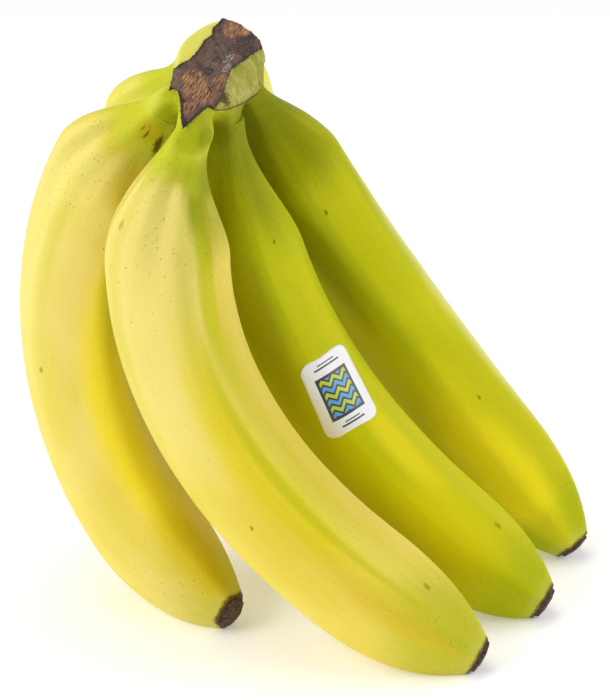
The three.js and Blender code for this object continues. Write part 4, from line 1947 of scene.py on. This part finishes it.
RIPENESS = {
    "banana_outer_near": Ripeness.YELLOW,
    "banana_inner_near": Ripeness.YELLOW,
    "banana_outer_middle": Ripeness.HIDDEN,
    "banana_inner_middle": Ripeness.TURNING,
    "banana_outer_far": Ripeness.HIDDEN,
    "banana_inner_far": Ripeness.TURNING,
}
# The amber is the peels' deep gold with painted shade, on sides turned from the lamps.
# The bright gold is painted light: it brightens golden sides that the lamps leave in shade.
GOLD, PAINTED_LIGHT_GOLD, AMBER_AND_SHADE = paint(232, 212, 12), paint(252, 232, 34), paint(210, 186, 2)
# The olive is painted shade on the turning necks and in the valleys between the turning bananas.
PAINTED_SHADE_OLIVE, GREEN, PALE = paint(134, 130, 2), paint(178, 182, 12), paint(230, 226, 90)
LIME, HONEY, CHARTREUSE = paint(208, 206, 6), paint(222, 192, 44), paint(196, 192, 18)
# The milk is a painted highlight along the outer edge of the far inner banana.
# The moss is painted shade on the shaded side of the front banana's stalk.
PAINTED_SHADE_MOSS, PAINTED_HIGHLIGHT_CREAM, STRAW = paint(146, 154, 8), paint(240, 234, 150), paint(212, 204, 48)
# Some zones paint light and shade, as the comments on their colours say; the rest are the peels' own colours.
ZONES = {
    "banana_outer_near": (
        Zone(0.62, 18, 0.34, 30, PAINTED_LIGHT_GOLD, 0.85), Zone(0.93, 20, 0.12, 40, AMBER_AND_SHADE, 0.7),
        Zone(0.35, 12, 0.2, 14, GREEN, 0.4), Zone(0.09, 86, 0.045, 30, AMBER_AND_SHADE, 0.6),
        Zone(0.15, 34, 0.06, 22, AMBER_AND_SHADE, 0.7), Zone(0.05, 130, 0.05, 50, PALE, 0.7),
    ),
    "banana_inner_near": (
        Zone(0.6, 58, 0.3, 26, GOLD, 0.8), Zone(0.28, 33, 0.22, 13, CHARTREUSE, 0.9),
        Zone(0.62, 50, 0.26, 7, CHARTREUSE, 0.7), Zone(0.5, 28, 0.4, 16, STRAW, 0.5),
        Zone(0.14, 5, 0.08, 36, PAINTED_SHADE_MOSS, 0.7), Zone(0.17, 36, 0.09, 14, GREEN, 0.6),
        Zone(0.1, 34, 0.08, 26, PAINTED_SHADE_MOSS, 0.85), Zone(0.48, 10, 0.4, 24, AMBER_AND_SHADE, 0.5),
        Zone(0.93, 60, 0.09, 70, GREEN, 0.5), Zone(0.72, 88, 0.16, 34, HONEY, 0.5),
        Zone(0.87, 76, 0.12, 16, HONEY, 0.6),
    ),
    "banana_inner_middle": (
        Zone(0.66, 15, 0.12, 18, PAINTED_LIGHT_GOLD, 0.5), Zone(0.42, -2, 0.12, 14, GOLD, 0.2),
        Zone(0.6, 56, 0.24, 18, LIME, 0.8), Zone(0.8, 40, 0.12, 34, GOLD, 0.45),
        Zone(0.32, 72, 0.22, 26, PAINTED_SHADE_OLIVE, 0.6), Zone(0.1, 15, 0.12, 80, PAINTED_SHADE_OLIVE, 0.5),
        Zone(0.76, -16, 0.22, 16, STRAW, 0.5),
    ),
    "banana_inner_far": (
        Zone(0.83, 18, 0.2, 40, PAINTED_LIGHT_GOLD, 0.8), Zone(0.55, -62, 0.36, 15, PAINTED_HIGHLIGHT_CREAM, 0.6),
        Zone(0.3, 42, 0.24, 20, PAINTED_SHADE_OLIVE, 0.7), Zone(0.1, 0, 0.14, 80, PAINTED_SHADE_OLIVE, 0.6),
        Zone(0.96, 15, 0.04, 60, GREEN, 0.4),
    ),
    "banana_outer_middle": (Zone(0.14, 150, 0.1, 60, GREEN, 0.2), Zone(0.3, 130, 0.3, 60, PALE, 0.7)),
    "banana_outer_far": (Zone(0.25, -60, 0.2, 60, PALE, 0.7),),
}
MARKS = {
    "banana_outer_near": (
        Mark(0.08, 20, 2.8, 0.85), Mark(0.075, 52, 1.3, 0.7), Mark(0.07, 68, 0.9, 0.6),
        Mark(0.52, 88, 0.8, 0.5),
    ),
    "banana_inner_near": (Mark(0.88, 27, 1.1, 0.45), Mark(0.18, 129, 1.2, 0.35), Mark(0.63, 100, 0.7, 0.5)),
    "banana_inner_middle": (Mark(0.87, 2, 1.2, 0.4), Mark(0.24, 20, 0.7, 0.6)),
    "banana_inner_far": (Mark(0.7, -12, 0.8, 0.5), Mark(0.27, 8, 0.9, 0.6)),
}
LABELLED = "banana_inner_middle"
SLOTS = {Ripeness.YELLOW: "yellow_peel", Ripeness.HIDDEN: "yellow_peel", Ripeness.TURNING: "greenish_peel"}


def report(piece: bpy.types.Object, slot: str) -> None:
    """Logs a piece with the slot that its finish belongs to.

    Args:
        piece: The finished piece.
        slot: The record's slot.
    """
    log.info("%s: %d vertices, finish %s", piece.name, len(piece.data.vertices), slot)


def main() -> None:
    """Builds every piece in order, then the studio."""
    logging.basicConfig(level=logging.INFO, format="%(message)s")
    peel_tree, end_tree = Peel.tree(), BlossomEnd.tree()
    peels = {}
    for seed, finger in enumerate(FINGERS, start=1):
        ripeness = RIPENESS[finger.name]
        finish = PeelFinish(
            finger.name + "_peel", seed=seed, zones=ZONES[finger.name],
            marks=MARKS.get(finger.name, ()), **ripeness.value,
        )
        peels[finger.name] = Peel(finger, finish).build(peel_tree)
        report(peels[finger.name], SLOTS[ripeness])
        report(BlossomEnd(finger, TipFinish()).build(end_tree), "dried_tip")
    unripe = [finger for finger in FINGERS if RIPENESS[finger.name] is Ripeness.TURNING]
    crown = Crown(CrownFinish(), FINGERS, unripe).build()
    report(crown, "crown_cut")
    report(Crust(crown, CrustFinish()).build(), "crown_cut")
    carrier = next(finger for finger in FINGERS if finger.name == LABELLED)
    report(Label(carrier, peels[LABELLED], LabelFinish()).build(), "label_paper")
    Studio().build()


if __name__ == "__main__":
    main()
